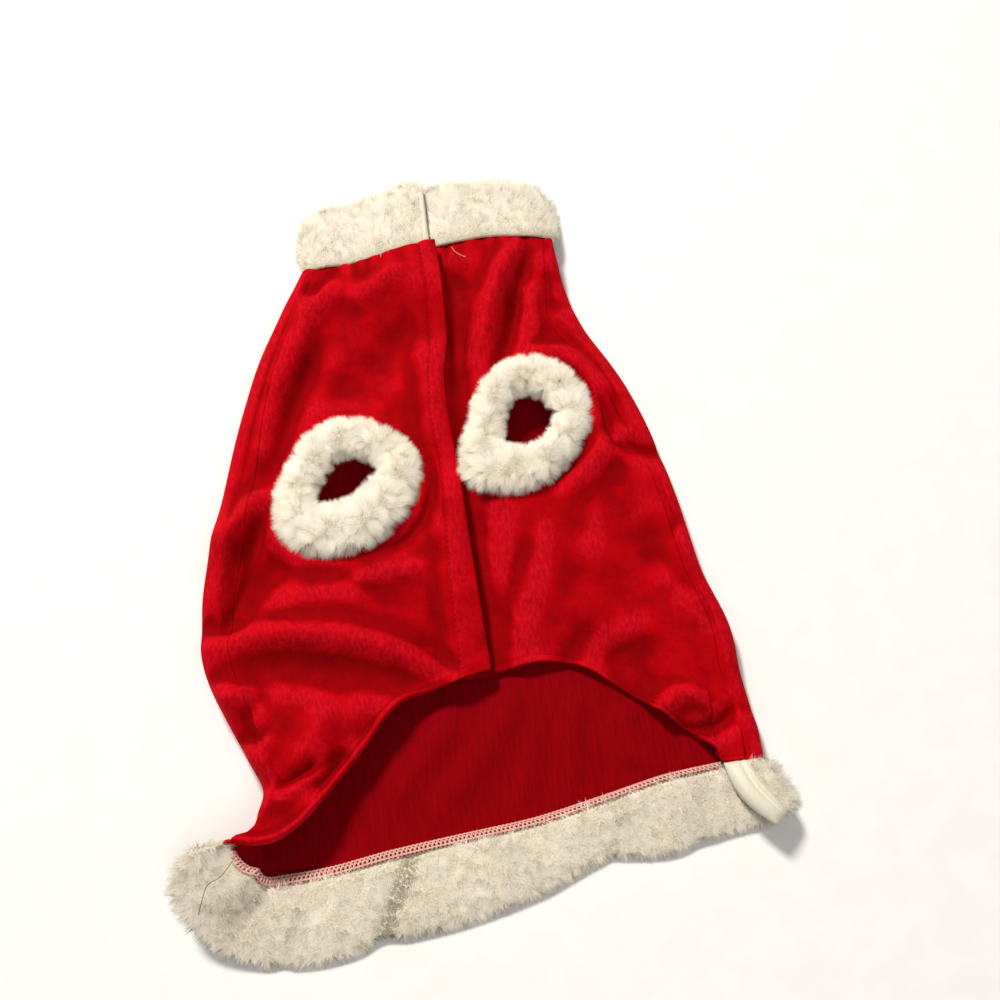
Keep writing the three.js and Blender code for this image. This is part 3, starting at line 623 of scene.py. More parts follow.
def back_surface(u, v):
    """The back: over each wrap, round each side fold and across the floor between them."""
    row = {name: column(values, v) for name, values in SECTIONS.items()}
    first = {name: values[0] for name, values in SECTIONS.items()}
    last = {name: values[-1] for name, values in SECTIONS.items()}

    def line(at, x):
        """y at x on the straight line between a row's two sides."""
        return mix(at["left_y"], at["right_y"], (x - at["left_x"]) / (at["right_x"] - at["left_x"]))

    def row_y(x):
        """y at x on the row, which bends to the neck seam and the hem seam near them."""
        neck_bend = seam_at(NECK_SEAM, x) - line(first, x)
        hem_bend = seam_at(HEM_SEAM, x) - line(last, x)
        bends = neck_bend * smooth(SEAM_BEND_SHARE, 0, v) + hem_bend * smooth(1 - SEAM_BEND_SHARE, 1, v)
        return line(row, x) + bends

    def side(fold_x, wrap, back, inward, flat_share, turn):
        """One side: flat over its wrap, then round an oval from turn 0 on top to turn pi on the floor."""
        reach = np.minimum(SIDE_ROUND, wrap - LEAST_WRAP)
        top_x = fold_x + inward * reach
        top_y = row_y(top_x) + back
        wrap_x = mix(fold_x + inward * wrap, top_x, flat_share)
        wrap_y = row_y(wrap_x) + back
        half = np.where(turn < np.pi / 2, reach, SIDE_ROUND)
        bulge = np.sqrt(np.clip(np.cos(turn), 0, 1))
        x = fold_x + inward * half * np.where(half < 0, bulge, 1 - np.sin(turn))
        y = row_y(x) + back * np.cos(turn / 2) ** 4
        floor_x = fold_x + inward * SIDE_ROUND
        floor_z = lower_height(floor_x, row_y(floor_x)) + seam_lift(v)
        fall = mix((1 - np.cos(turn)) / 2, turn / np.pi, smooth(0, -LEAN_FULL, reach))
        z = mix(upper_height(top_x, top_y), floor_z, fall)
        flat = np.stack([wrap_x, wrap_y, upper_height(wrap_x, wrap_y)], axis=-1)
        return np.where((turn <= 0)[..., None], flat, np.stack([x, y, z], axis=-1))

    left_wrap, left_fold, floor, right_fold = BACK_SPANS
    left_turn = np.pi * np.clip((u - left_wrap) / (left_fold - left_wrap), 0, 1)
    right_turn = np.pi * np.clip((right_fold - u) / (right_fold - floor), 0, 1)
    left = side(row["left_x"], row["left_wrap"], row["left_back"], 1, np.clip(u / left_wrap, 0, 1), left_turn)
    right = side(
        row["right_x"], row["right_wrap"], 0, -1, np.clip((1 - u) / (1 - right_fold), 0, 1), right_turn
    )
    across = np.clip((u - left_fold) / (floor - left_fold), 0, 1)
    x = mix(row["left_x"] + SIDE_ROUND, row["right_x"] - SIDE_ROUND, across)
    y = row_y(x)
    middle = np.stack([x, y, lower_height(x, y) + seam_lift(v)], axis=-1)
    pick = u[..., None]
    return np.where(pick < left_fold, left, np.where(pick > floor, right, middle))


def edge_through(first, edge, last):
    """A function of 0 to 1 along an edge from one given end through its rows to another."""
    xs = np.concatenate([[first[0]], edge["x"], [last[0]]])
    ys = np.concatenate([[first[1]], edge["y"], [last[1]]])
    return lambda u: np.stack([column(xs, u), column(ys, u)], axis=-1)


def closure_edge(u, v):
    """Plan of the closing edge, from its seam at u 0 to its outer edge at u 1."""
    edge_x, width = column(CLOSURE["x"], v), column(CLOSURE["width"], v)
    x = edge_x - width * (1 - u)
    neck = (seam_at(NECK_SEAM, x) - CLOSURE["y"][0]) * smooth(SEAM_BEND_SHARE, 0, v)
    slant = CLOSURE_SLANT * (x - edge_x) * smooth(1 - SEAM_BEND_SHARE, 1, v)
    return np.stack([x, column(CLOSURE["y"], v) + neck + slant], axis=-1)


def side_edge(end):
    """Plan of a front's side edge: the end of the back's wrap, u 0 on the left and 1 on the right."""
    return lambda v: back_surface(np.full_like(v, end), v)[..., :2]


def neck_edge(from_x, to_x):
    """Plan of a front's neck edge: the neck seam from one x to another."""

    def at(u):
        """The seam at an even share of the way in x."""
        x = mix(from_x, to_x, u)
        return np.stack([x, seam_at(NECK_SEAM, x)], axis=-1)

    return at


def patch(side, middle, neck, belly, u, v):
    """A smooth plan between four edges, its rows spread out where the belly edge bends into them.

    It is the blend of side and middle edge across, plus the blend of neck and belly edge down, less the
    blend of the four corners.
    """
    zero, one = np.zeros(1), np.ones(1)
    across, down = u[..., None], v[..., None]
    ruled = mix(side(v), middle(v), across) + mix(neck(u), belly(u), down)
    corners = mix(mix(neck(zero), neck(one), across), mix(belly(zero), belly(one), across), down)
    plan = ruled - corners
    edge = belly(np.linspace(0, 1, 400))
    edge = edge[np.argsort(edge[:, 0])]
    clear = plan[..., 1] - np.interp(plan[..., 0], edge[:, 0], edge[:, 1])
    least = (1 - v) * LEAST_SPREAD
    plan[..., 1] += np.where(v < 1, np.maximum(least - clear, 0), 0)
    return plan


def left_plan(u, v):
    """Plan of the left front, from its side seam to the closing edge's seam."""
    side, seam = side_edge(0), lambda v: closure_edge(np.zeros_like(v), v)
    zero, one = np.zeros(1), np.ones(1)
    neck = neck_edge(side(zero)[0, 0], seam(zero)[0, 0])
    belly = edge_through(side(one)[0], BELLY_LEFT, seam(one)[0])
    return patch(side, seam, neck, belly, u, v)


def right_plan(u, v):
    """Plan of the right front, from its side seam to the end of its underlap."""
    side = side_edge(1)
    top = seam_at(NECK_SEAM, np.array(-float(UNDERLAP)))

    def middle(v):
        """The underlap's straight end."""
        return np.stack([np.full_like(v, -UNDERLAP), mix(top, RIGHT_BELLY_END, v)], axis=-1)

    zero, one = np.zeros(1), np.ones(1)
    neck = neck_edge(side(zero)[0, 0], -UNDERLAP)
    belly = edge_through(side(one)[0], BELLY_RIGHT, middle(one)[0])
    return patch(side, middle, neck, belly, u, v)


# ---- Meshes ----


def unit(vectors):
    """Vectors scaled to length 1, with null ones left as they are."""
    length = np.linalg.norm(vectors, axis=-1, keepdims=True)
    return vectors / np.maximum(length, 1e-9)


def grid_normals(points):
    """Normals of a grid of points, on the side that its columns and then its rows turn about."""
    return unit(np.cross(np.gradient(points, axis=1), np.gradient(points, axis=0)))


def new_object(name, points, faces, materials, slots=None, normals=None, values=None):
    """An object from points in millimetres. faces is a list of index arrays, one for each face size."""
    sizes = np.concatenate([np.full(len(f), f.shape[1]) for f in faces])
    corners = np.concatenate([f.ravel() for f in faces])
    starts = np.concatenate([[0], np.cumsum(sizes)[:-1]])
    mesh = bpy.data.meshes.new(name)
    mesh.vertices.add(len(points))
    mesh.vertices.foreach_set("co", np.ascontiguousarray(points * MM, dtype=np.float32).ravel())
    mesh.loops.add(len(corners))
    mesh.loops.foreach_set("vertex_index", corners.astype(np.int32))
    mesh.polygons.add(len(sizes))
    mesh.polygons.foreach_set("loop_start", starts.astype(np.int32))
    if slots is not None:
        mesh.polygons.foreach_set("material_index", slots.astype(np.int32))
    mesh.update(calc_edges=True)
    mesh.polygons.foreach_set("use_smooth", np.ones(len(sizes), dtype=bool))
    for key, data in (values or {}).items():
        attribute = mesh.attributes.new(key, "FLOAT", "POINT")
        attribute.data.foreach_set("value", data.astype(np.float32))
    if normals is not None:
        mesh.normals_split_custom_set_from_vertices(normals.astype(float).tolist())
    for look in materials:
        mesh.materials.append(look)
    mesh.validate(clean_customdata=False)
    obj = bpy.data.objects.new(name, mesh)
    bpy.context.scene.collection.objects.link(obj)
    return obj


def crest(middle, outward):
    """How far each point stands out of its surroundings, in millimetres: crests above 0, hollows below.

    The surroundings are the grid averaged again and again with its neighbours, about 4 mm around.
    """
    around = middle
    for _ in range(10):
        for axis in (0, 1):
            first, last = (np.take(around, [i], axis=axis) for i in (0, -1))
            wide = np.concatenate([first, around, last], axis=axis)
            count = around.shape[axis]
            low, mid, high = (np.take(wide, np.arange(i, i + count), axis=axis) for i in (0, 1, 2))
            around = (low + 2 * mid + high) / 4
    return np.clip(((middle - around) * outward).sum(axis=-1), -CREST_MOST, CREST_MOST)


def rim_shares(count, length, rim, extra=()):
    """Shares from 0 to 1 in even steps, with finer ones by both ends where the rim is rounded.

    extra holds more places, as distances from the far end.
    """
    near = rim * np.array([0.06, 0.25, 0.55, 1.0]) / length
    more = 1 - np.asarray(extra, dtype=float) / length
    return np.unique(np.concatenate([np.linspace(0, 1, count + 1), near, 1 - near, more]))


def rounded_rim(distance, rim):
    """Share of the full thickness at a distance from the rim: a half circle that closes the wall."""
    inside = np.clip(distance / rim, 0, 1)
    return np.sqrt(np.clip(1 - (1 - inside) ** 2, 0.0004, 1))


def shell(name, middle, outward, thickness, materials, keep=None, upside=True):
    """A closed wall: a grid of middle points moved half the thickness both ways, joined round its rims.

    keep marks the grid's cells that are there. upside says that outward is against the grid's own turn.
    The outer face takes the first material and the inner face the second.
    """
    rows, cols = middle.shape[:2]
    half = outward * thickness[..., None] / 2
    points = np.concatenate([(middle + half).reshape(-1, 3), (middle - half).reshape(-1, 3)])
    points[:, 2] = np.maximum(points[:, 2], 0)
    under = rows * cols
    index = np.arange(under).reshape(rows, cols)
    cell = np.stack([index[:-1, :-1], index[:-1, 1:], index[1:, 1:], index[1:, :-1]], axis=-1)
    if upside:
        cell = cell[..., [0, 3, 2, 1]]
    keep = np.ones((rows - 1, cols - 1), dtype=bool) if keep is None else keep
    there = np.pad(keep, 1)
    beyond = {  # whether the cell past each side of the grid is there
        "north": there[:-2, 1:-1],
        "east": there[1:-1, 2:],
        "south": there[2:, 1:-1],
        "west": there[1:-1, :-2],
    }
    order = ("west", "south", "east", "north") if upside else ("north", "east", "south", "west")
    rims = []
    for k, side in enumerate(order):
        open_cells = cell[keep & ~beyond[side]]
        a, b = open_cells[:, k], open_cells[:, (k + 1) % 4]
        rims.append(np.stack([b, a, a + under, b + under], axis=-1))
    top = cell[keep]
    quads = np.concatenate([top, top[:, ::-1] + under, *rims])
    slots = np.concatenate([np.zeros(len(top)), np.ones(len(top)), np.zeros(sum(map(len, rims)))])
    used, quads = np.unique(quads, return_inverse=True)
    # These values feed the velour's painted highlight on crests and painted shade in hollows.
    bend = crest(middle, outward).ravel()
    values = {"crest": np.concatenate([bend, -bend])[used]}
    return new_object(name, points[used], [quads.reshape(-1, 4)], materials, slots=slots, values=values)


def tubes(paths, radius, sides=5):
    """Points and quads of tubes along paths of equal point count, an array of (path, point, 3)."""
    count, steps = paths.shape[:2]
    along = unit(np.gradient(paths, axis=1))
    up = np.zeros_like(along)
    up[..., 2] = 1
    side = unit(np.cross(along, up) + 1e-6)
    lift = np.cross(side, along)
    turn = np.arange(sides) * 2 * np.pi / sides
    ring = side[..., None, :] * np.cos(turn)[:, None] + lift[..., None, :] * np.sin(turn)[:, None]
    points = paths[..., None, :] + radius * ring
    index = np.arange(count * steps * sides).reshape(count, steps, sides)
    a, b = index[:, :-1], index[:, 1:]
    quads = np.stack([a, np.roll(a, -1, axis=2), np.roll(b, -1, axis=2), b], axis=-1)
    return points.reshape(-1, 3), quads.reshape(-1, 4)


def join(parts):
    """Points and quads of several (points, quads) pairs as one."""
    points, quads, start = [], [], 0
    for p, q in parts:
        points.append(p)
        quads.append(q + start)
        start += len(p)
    return np.concatenate(points), np.concatenate(quads)


# ---- Materials ----


class Nodes:
    """A short way to make a material's nodes, with patterns on Object coordinates."""

    def __init__(self, name):
        """Start a material, which keeps its own shader node."""
        self.material = bpy.data.materials.new(name)
        self.material.use_nodes = True
        self.tree = self.material.node_tree
        self.shader = self.tree.nodes["Principled BSDF"]
        self.place = self.add("ShaderNodeTexCoord").outputs["Object"]

    def add(self, kind, **sockets):
        """A node of a kind, with its inputs linked or set. A name's underscores stand for spaces."""
        node = self.tree.nodes.new(kind)
        for key, value in sockets.items():
            self.put(node.inputs[key.replace("_", " ")], value)
        return node

    def put(self, socket, value):
        """Link a socket, or set it to a constant."""
        if isinstance(value, bpy.types.NodeSocket):
            self.tree.links.new(value, socket)
        else:
            socket.default_value = value

    def stretched(self, scale):
        """The place, scaled differently along each axis."""
        node = self.add("ShaderNodeMapping", Vector=self.place)
        node.inputs["Scale"].default_value = scale
        return node.outputs["Vector"]

    def noise(self, scale, detail=2.0, place=None, roughness=0.5):
        """A noise pattern's value, from 0 to 1."""
        place = place or self.place
        node = self.add("ShaderNodeTexNoise", Vector=place, Scale=scale, Detail=detail, Roughness=roughness)
        return node.outputs["Fac"]

    def ramp(self, value, *stops):
        """A colour ramp over value, from (position, colour) stops."""
        node = self.add("ShaderNodeValToRGB", Fac=value)
        elements = node.color_ramp.elements
        while len(elements) < len(stops):
            elements.new(0.5)
        for element, (position, tint) in zip(elements, stops):
            element.position = position
            element.color = (*tint, 1)
        return node.outputs["Color"]

    def blend(self, factor, a, b, kind="MIX"):
        """Colour b over colour a by a factor, in one way of mixing."""
        node = self.tree.nodes.new("ShaderNodeMix")
        node.data_type = "RGBA"
        node.blend_type = kind
        for name, value in (("Factor", factor), ("A", a), ("B", b)):
            socket = next(s for s in node.inputs if s.name == name and s.enabled)
            self.put(socket, value)
        return next(s for s in node.outputs if s.enabled)

    def maths(self, kind, a, b):
        """One arithmetic step on two values."""
        node = self.tree.nodes.new("ShaderNodeMath")
        node.operation = kind
        self.put(node.inputs[0], a)
        self.put(node.inputs[1], b)
        return node.outputs[0]

    def bump(self, *layers):
        """Bump from (height, distance in metres, strength) layers, the last one on top."""
        normal = None
        for height, distance, strength in layers:
            node = self.add("ShaderNodeBump", Height=height, Distance=distance, Strength=strength)
            if normal is not None:
                self.put(node.inputs["Normal"], normal)
            normal = node.outputs["Normal"]
        self.put(self.shader.inputs["Normal"], normal)

    def attribute(self, name):
        """The value that a mesh holds at its points under a name."""
        node = self.add("ShaderNodeAttribute")
        node.attribute_name = name
        return node.outputs["Fac"]

    def finish(self, base, roughness, **sockets):
        """The material, with its base colour, its roughness and any other sockets of the shader."""
        self.put(self.shader.inputs["Base Color"], base)
        self.put(self.shader.inputs["Roughness"], roughness)
        for key, value in sockets.items():
            self.put(self.shader.inputs[key.replace("_", " ")], value)
        return self.material


def velour():
    """Red velour: nap brushed this way and that, with painted highlight in strokes on the crests of folds and
    painted shade in their hollows.
    """
    n = Nodes("red_velour_nap")
    brushed = n.noise(70, 6, roughness=0.65)
    strokes = n.noise(1, 5, n.stretched((700, 260, 500)), roughness=0.65)
    pile = n.noise(1900, 2, roughness=0.7)
    bend = n.attribute("crest")
    base = n.ramp(
        brushed, (0.34, colour("velour", 0.74)), (0.5, colour("velour")), (0.66, colour("velour", 1.26))
    )
    # Painted highlight: where the cloth bends outward, the crest colour is laid over the base in strokes.
    lit = n.ramp(strokes, (0.42, (0.25, 0.25, 0.25)), (0.62, (1, 1, 1)))
    rise = n.ramp(bend, (0.02, (0, 0, 0)), (0.36, (1, 1, 1)))
    # Painted shade: where the cloth bends inward, the velour is darkened towards the hollow colour.
    hollow_shade_share = n.ramp(n.maths("MULTIPLY", bend, -1.0), (0.02, (0, 0, 0)), (0.36, (1, 1, 1)))
    light = n.maths("MULTIPLY", rise, n.maths("MULTIPLY", lit, 0.85))
    crests = n.blend(light, base, (*colour("crest"), 1))
    hollows = n.blend(n.maths("MULTIPLY", hollow_shade_share, 0.8), crests, (*colour("hollow_shade"), 1))
    grain = n.ramp(pile, (0.36, (0.8, 0.8, 0.8)), (0.66, (1, 1, 1)))
    napped = n.blend(1.0, hollows, grain, "MULTIPLY")
    n.bump((strokes, 0.0004, 0.3), (pile, 0.0003, 0.5))
    return n.finish(
        napped,
        0.82,
        Sheen_Weight=0.2,
        Sheen_Roughness=0.4,
        Sheen_Tint=(1, 0.03, 0.03, 1),
        Specular_IOR_Level=0.03,
    )


def wrong_side():
    """The velour's flat inside: crimson knit with fine lengthwise wales."""
    n = Nodes("red_knit_inside")
    wales = n.noise(1, 3, n.stretched((900, 70, 900)), roughness=0.6)
    cloudy = n.noise(45, 3)
    base = n.ramp(
        wales, (0.3, colour("inside", 0.77)), (0.55, colour("inside")), (0.75, colour("inside", 1.2))
    )
    knit = n.blend(n.maths("MULTIPLY", cloudy, 0.5), base, (*colour("inside", 0.7), 1))
    n.bump((wales, 0.0003, 0.5))
    return n.finish(knit, 0.8, Sheen_Weight=0.08, Sheen_Tint=(1, 0.01, 0.01, 1), Specular_IOR_Level=0.02)


def plush():
    """Fur strands, each in its own tone, with painted shade: darker and warmer towards the root, and darker
    where the pile lies flat.
    """
    n = Nodes("white_plush")
    root, tip = colour("fur_root_shade"), colour("fur_tip")
    along, tone = n.attribute("along"), n.attribute("tone")
    # Painted shade: each strand darkens from its tip down to its root.
    strand = n.ramp(along, (0.0, root), (0.4, tuple(mix(np.array(root), np.array(tip), 0.6))), (1.0, tip))
    # tone differs at random from strand to strand and tuft to tuft; its dark end, reached where the pile lies
    # flat, is painted shade.
    shade = n.ramp(
        tone,
        (0.0, (0.40, 0.37, 0.32)),
        (0.2, (0.79, 0.765, 0.72)),
        (0.5, (0.9, 0.89, 0.87)),
        (1.0, (1, 1, 1)),
    )
    toned = n.blend(1.0, strand, shade, "MULTIPLY")
    return n.finish(toned, 0.55, Sheen_Weight=0.3, Specular_IOR_Level=0.3)


def plush_backing():
    """The knit ground under the pile, which shows as soft cream between tufts."""
    n = Nodes("plush_backing")
    mottled = n.noise(420, 3)
    knit = n.ramp(mottled, (0.3, colour("ground", 0.93)), (0.7, colour("ground", 1.07)))
    n.bump((mottled, 0.0006, 0.6))
    return n.finish(knit, 0.9, Specular_IOR_Level=0.2)


def smooth_backing():
    """The bare turned ends of the collar and the hem band: a smooth off-white knit."""
    n = Nodes("smooth_backing")
    wales = n.noise(1, 2, n.stretched((1200, 300, 1200)))
    knit = n.ramp(wales, (0.3, colour("bare_ground", 0.96)), (0.7, colour("bare_ground", 1.04)))
    n.bump((wales, 0.0001, 0.3))
    return n.finish(knit, 0.5, Sheen_Weight=0.1, Specular_IOR_Level=0.4)


def thread(name, dark, light, gloss=0.4):
    """Sewing thread: a tight twist of two tones."""
    n = Nodes(name)
    twist = n.noise(3000, 1)
    return n.finish(n.ramp(twist, (0.35, dark), (0.65, light)), 0.5, Specular_IOR_Level=gloss)


MATERIALS = {}


def material(name):
    """One material by name, made when it is first asked for."""
    pink = colour("overlock_dark"), colour("overlock_light")
    red = colour("velour", 0.6), colour("velour", 1.1)
    dark = colour("loose", 0.7), colour("loose", 1.3)
    makers = {
        "velour": velour,
        "inside": wrong_side,
        "plush": plush,
        "plush_backing": plush_backing,
        "smooth_backing": smooth_backing,
        "pink_thread": lambda: thread("pink_white_thread", *pink),
        "red_thread": lambda: thread("red_thread", *red, gloss=0.05),
        "dark_thread": lambda: thread("dark_thread", *dark),
    }
    if name not in MATERIALS:
        MATERIALS[name] = makers[name]()
    return MATERIALS[name]


# ---- Fur ----


def grow(name, rings, spread, strands, seed, comb, reach=1.0, pull=0.2, lie=0.7, worn_and_shaded=None):
    """Fur strands on a closed strip or ring, as one mesh.

    rings is the core's grid of points, joined round its second axis. spread gives each grid cell's share
    of strands, and comb the way that the pile leans at its roots. Each strand is a narrow spike with
    three sides, which leans with its tuft. lie is how far it leans, and pull draws its tip to the tuft's
    tip. The last argument says how far the pile of each cell lies flat: shorter, and painted darker as shade.
    """
    size = settings("coat_fur")
    rng = np.random.default_rng(seed)
    a = rings[:-1]
    b = rings[1:]
    corner = (a, np.roll(a, -1, axis=1), np.roll(b, -1, axis=1), b)
    normal = unit(np.cross(corner[1] - corner[3], corner[2] - corner[0]))
    area = np.linalg.norm(np.cross(corner[1] - corner[3], corner[2] - corner[0]), axis=-1) / 2
    inside = rings.mean(axis=1, keepdims=True)
    outwards = ((a - (inside[:-1] + inside[1:]) / 2) * normal).sum() > 0
    normal = normal if outwards else -normal
    weight = (area * spread).ravel()
    cell = rng.choice(len(weight), size=strands, p=weight / weight.sum())
    s, t = rng.random((2, strands, 1))
    flat = [c.reshape(-1, 3)[cell] for c in corner]
    root = mix(mix(flat[0], flat[1], s), mix(flat[3], flat[2], s), t)
    vertex_normal = unit(normal + np.roll(normal, 1, axis=1))
    edge_normal = [n.reshape(-1, 3)[cell] for n in (vertex_normal, np.roll(vertex_normal, -1, axis=1))]
    up = unit(mix(edge_normal[0], edge_normal[1], s))
    lean = comb(root)
    lean = unit(lean - up * (lean * up).sum(axis=1, keepdims=True) * 0.6)
    tufts = max(8, int(area.sum() / size["tuft"] ** 2))
    middle = rng.choice(strands, size=tufts, replace=False)
    nearest = np.empty(strands, dtype=int)
    for part in np.array_split(np.arange(strands), max(1, strands * tufts // 20_000_000)):
        gap = ((root[part, None, :] - root[middle][None]) ** 2).sum(axis=-1)
        nearest[part] = gap.argmin(axis=1)
    sway = rng.normal(size=(tufts, 3))
    tall = rng.uniform(0.8, 1.15, (tufts, 1))
    tuft_way = unit(up[middle] * 0.8 + lean[middle] * lie + sway * 0.3)
    tuft_tip = root[middle] + tuft_way * size["pile"] * tall * reach
    steep = rng.uniform(0.4, 1.0, (strands, 1))
    own_way = up * steep + lean * lie + sway[nearest] * 0.28 + rng.normal(size=(strands, 3)) * 0.24
    pressed_and_shaded = (np.zeros(weight.shape) if worn_and_shaded is None else worn_and_shaded.ravel())[cell]
    long = size["pile"] * reach * rng.uniform(0.65, 1.05, (strands, 1)) * (1 - 0.5 * pressed_and_shaded[:, None])
    own_tip = root + unit(own_way) * long
    tip = mix(own_tip, tuft_tip[nearest], pull * rng.uniform(0.3, 1.3, (strands, 1)))
    way = unit(tip - root)
    sky = up + np.array([0, 0, 0.8])
    side = unit(np.cross(way, sky) + rng.normal(size=(strands, 3)) * 0.2)
    depth = np.cross(way, side)
    depth *= -np.sign((depth * sky).sum(axis=1, keepdims=True))
    half = size["blade"] * rng.uniform(0.7, 1.2, (strands, 1)) / 2
    points = np.stack([root - side * half, root + side * half, root + depth * half * 0.6, tip], axis=1)
    points[..., 2] = np.maximum(points[..., 2], 0.15)
    facing = np.cross(points[:, 1] - points[:, 0], points[:, 3] - points[:, 0])
    turned = (facing * sky).sum(axis=1) < 0
    points[turned] = points[turned][:, [1, 0, 2, 3]]
    soft = unit(up + way * 0.25 + np.array([0, 0, 0.7]) + rng.normal(size=(strands, 3)) * 0.12)
    index = np.arange(strands * 4).reshape(strands, 4)
    tone = rng.normal(0.55, 0.2, strands) + rng.normal(0, 0.2, tufts)[nearest]
    # Painted shade: strands where the pile lies flat take a darker tone.
    tone = np.clip(tone, 0.15, 1) * (1 - pressed_and_shaded)
    pile = new_object(
        name,
        points.reshape(-1, 3),
        [np.concatenate([index[:, [0, 1, 3]], index[:, [1, 2, 3]], index[:, [2, 0, 3]]])],
        [material("plush")],
        normals=np.repeat(soft, 4, axis=0),
        values={"tone": np.repeat(tone, 4), "along": np.tile([0, 0, 0, 1.0], strands)},
    )
    pile.visible_shadow = False  # fine fur lets light through, and its core casts the shadow
    return pile


ACROSS = (1 - np.cos(np.linspace(0, np.pi, 11))) / 2  # shares from a strip's sewn to its free side


def strip_rings(sewn, free, thick, bow=0.0):
    """A strip's rings between its sewn and free side, an array of (station, around, 3).

    Around each station runs a flattened oval, thick at its middle and round at both sides. thick has a
    row for each station, and bow is how far the station's middle runs ahead of its sides.
    """
    half = thick / 2 * np.sqrt(np.clip(1 - np.abs(2 * ACROSS - 1) ** 2.6, 0, 1))
    middle = mix(sewn[:, None, :], free[:, None, :], ACROSS[:, None])
    along = np.gradient((sewn + free) / 2, axis=0)
    middle = middle + (unit(along) * np.reshape(bow, (-1, 1)))[:, None, :] * np.sin(np.pi * ACROSS)[:, None]
    normal = unit(np.cross(along, free - sewn))[:, None, :]
    top = middle + normal * half[..., None]
    bottom = middle - normal * half[..., None]
    rings = np.concatenate([top, bottom[:, -2:0:-1]], axis=1)
    rings[..., 2] = np.maximum(rings[..., 2], 0.3)
    return rings


def ring_mesh(name, rings, materials, closed, slots=None):
    """A closed mesh from rings of points, joined to each other, and to the first one or capped."""
    rows, around = rings.shape[:2]
    index = np.arange(rows * around).reshape(rows, around)
    nexts = np.roll(index, -1, axis=0) if closed else index[1:]
    here = index if closed else index[:-1]
    quads = np.stack([here, nexts, np.roll(nexts, -1, axis=1), np.roll(here, -1, axis=1)], axis=-1)
    faces = [quads.reshape(-1, 4)]
    points = rings.reshape(-1, 3)
    if not closed:
        middles = rings[[0, -1]].mean(axis=1)
        first, last = rows * around, rows * around + 1
        points = np.concatenate([points, middles])
        near, far = index[0], index[-1]
        faces.append(np.stack([np.full(around, first), near, np.roll(near, -1)], axis=-1))
        faces.append(np.stack([np.full(around, last), np.roll(far, -1), far], axis=-1))
    if slots is not None:
        caps = sum(len(f) for f in faces[1:])
        slots = np.concatenate([np.repeat(slots, around), np.zeros(caps)])
    return new_object(name, points, faces, materials, slots=slots)


# ---- Operators: one for each piece or group of like pieces ----


def leg_hole(x, y, ring):
    """Points near a leg hole's outline drawn onto it, and its radius there."""
    far, angle = ring_polar(ring, x, y)
    radius = mix(ring_edge(ring, angle, "inner"), ring_edge(ring, angle, "outer"), RING_SEAT)
    return far, radius


def front_shell(name, plan, height, thickness, ring):
    """One front as a shell on its plan, with its leg hole left open."""
    x, y = plan[..., 0].copy(), plan[..., 1].copy()
    far, radius = leg_hole(x, y, ring)
    near = np.abs(far - radius) < settings("coat_cloth")["step"] * 0.6
    scale = np.where(near, radius / np.maximum(far, 1e-6), 1)
    cx, cy = ring["centre"]
    x, y = cx + (x - cx) * scale, cy + (y - cy) * scale
    middle = np.stack([x, y, height(x, y)], axis=-1)
    centre_x = (x[:-1, :-1] + x[1:, 1:]) / 2
    centre_y = (y[:-1, :-1] + y[1:, 1:]) / 2
    far, radius = leg_hole(centre_x, centre_y, ring)
    normals = grid_normals(middle)
    turn = np.sign(normals[..., 2].sum())
    looks = [material("velour"), material("inside")]
    return shell(name, middle, normals * turn, thickness, looks, keep=far > radius, upside=turn < 0)


def belly_thickness(distance):
    """Thickness of a wall by its belly edge: turned under for the hem's width, pulled in by its stitches."""
    size = settings("coat_cloth")
    hem = size["hem_width"]
    turned = mix(size["thickness"], size["turned"], smooth(hem + 0.5, hem - 0.5, distance))
    return turned - size["groove"] * np.exp(-(((distance - hem) / 0.55) ** 2))


def finish_piece(obj, replaces=()):
    """Tell the frame where a piece belongs: on the root, and in place of its CAD nodes."""
    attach(obj, "root")
    if replaces:
        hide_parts(*replaces)
    return obj


def front_rows(length):
    """Rows of a front's grid from the neck down, finer by the stitches of its turned hem and by its rims."""
    size = settings("coat_cloth")
    near_stitch = size["hem_width"] + np.array([-0.9, -0.45, 0, 0.45, 0.9])
    return rim_shares(int(length / size["step"]), length, size["turned"] / 2, near_stitch)


class COAT_OT_back(bpy.types.Operator):
    """Make the back: one wall from the left side seam round the floor to the right side seam.

    Each row runs over a flat wrap, half way round an oval fold, straight across the floor and back the
    same way on the right. The rows move down the coat through the section table.
    """

    bl_idname = "coat.back"
    bl_label = "Back"

    def execute(self, context):
        size = settings("coat_cloth")
        width, length = BACK_GRID
        spans = (0, *BACK_SPANS, 1)
        counts = (6, 20, 110, 20, 6)  # cells across left wrap, left fold, floor, right fold and right wrap
        pieces = [np.linspace(a, b, n + 1)[:-1] for a, b, n in zip(spans[:-1], spans[1:], counts)]
        rim = size["thickness"] / 2
        near = rim * np.array([0.1, 0.5, 1]) / width
        us = np.unique(np.concatenate([*pieces, [1], near, 1 - near]))
        vs = rim_shares(int(length / size["step"]), length, rim)
        u, v = np.meshgrid(us, vs)
        middle = back_surface(u, v)
        outward = grid_normals(middle)
        overlock = settings("coat_stitch")["overlock_width"]
        distance = (1 - v) * length
        thickness = size["thickness"] * (1 + 0.5 * smooth(overlock + 0.6, overlock - 0.6, distance))
        ends = np.minimum(v, 1 - v) * length
        sides = np.minimum(u, 1 - u) * width
        thickness *= rounded_rim(ends, rim) * rounded_rim(sides, rim / 2)
        looks = [material("velour"), material("inside")]
        obj = shell("back", middle, outward, thickness, looks, upside=False)
        finish_piece(obj, ["back_panel"])
        return {"FINISHED"}


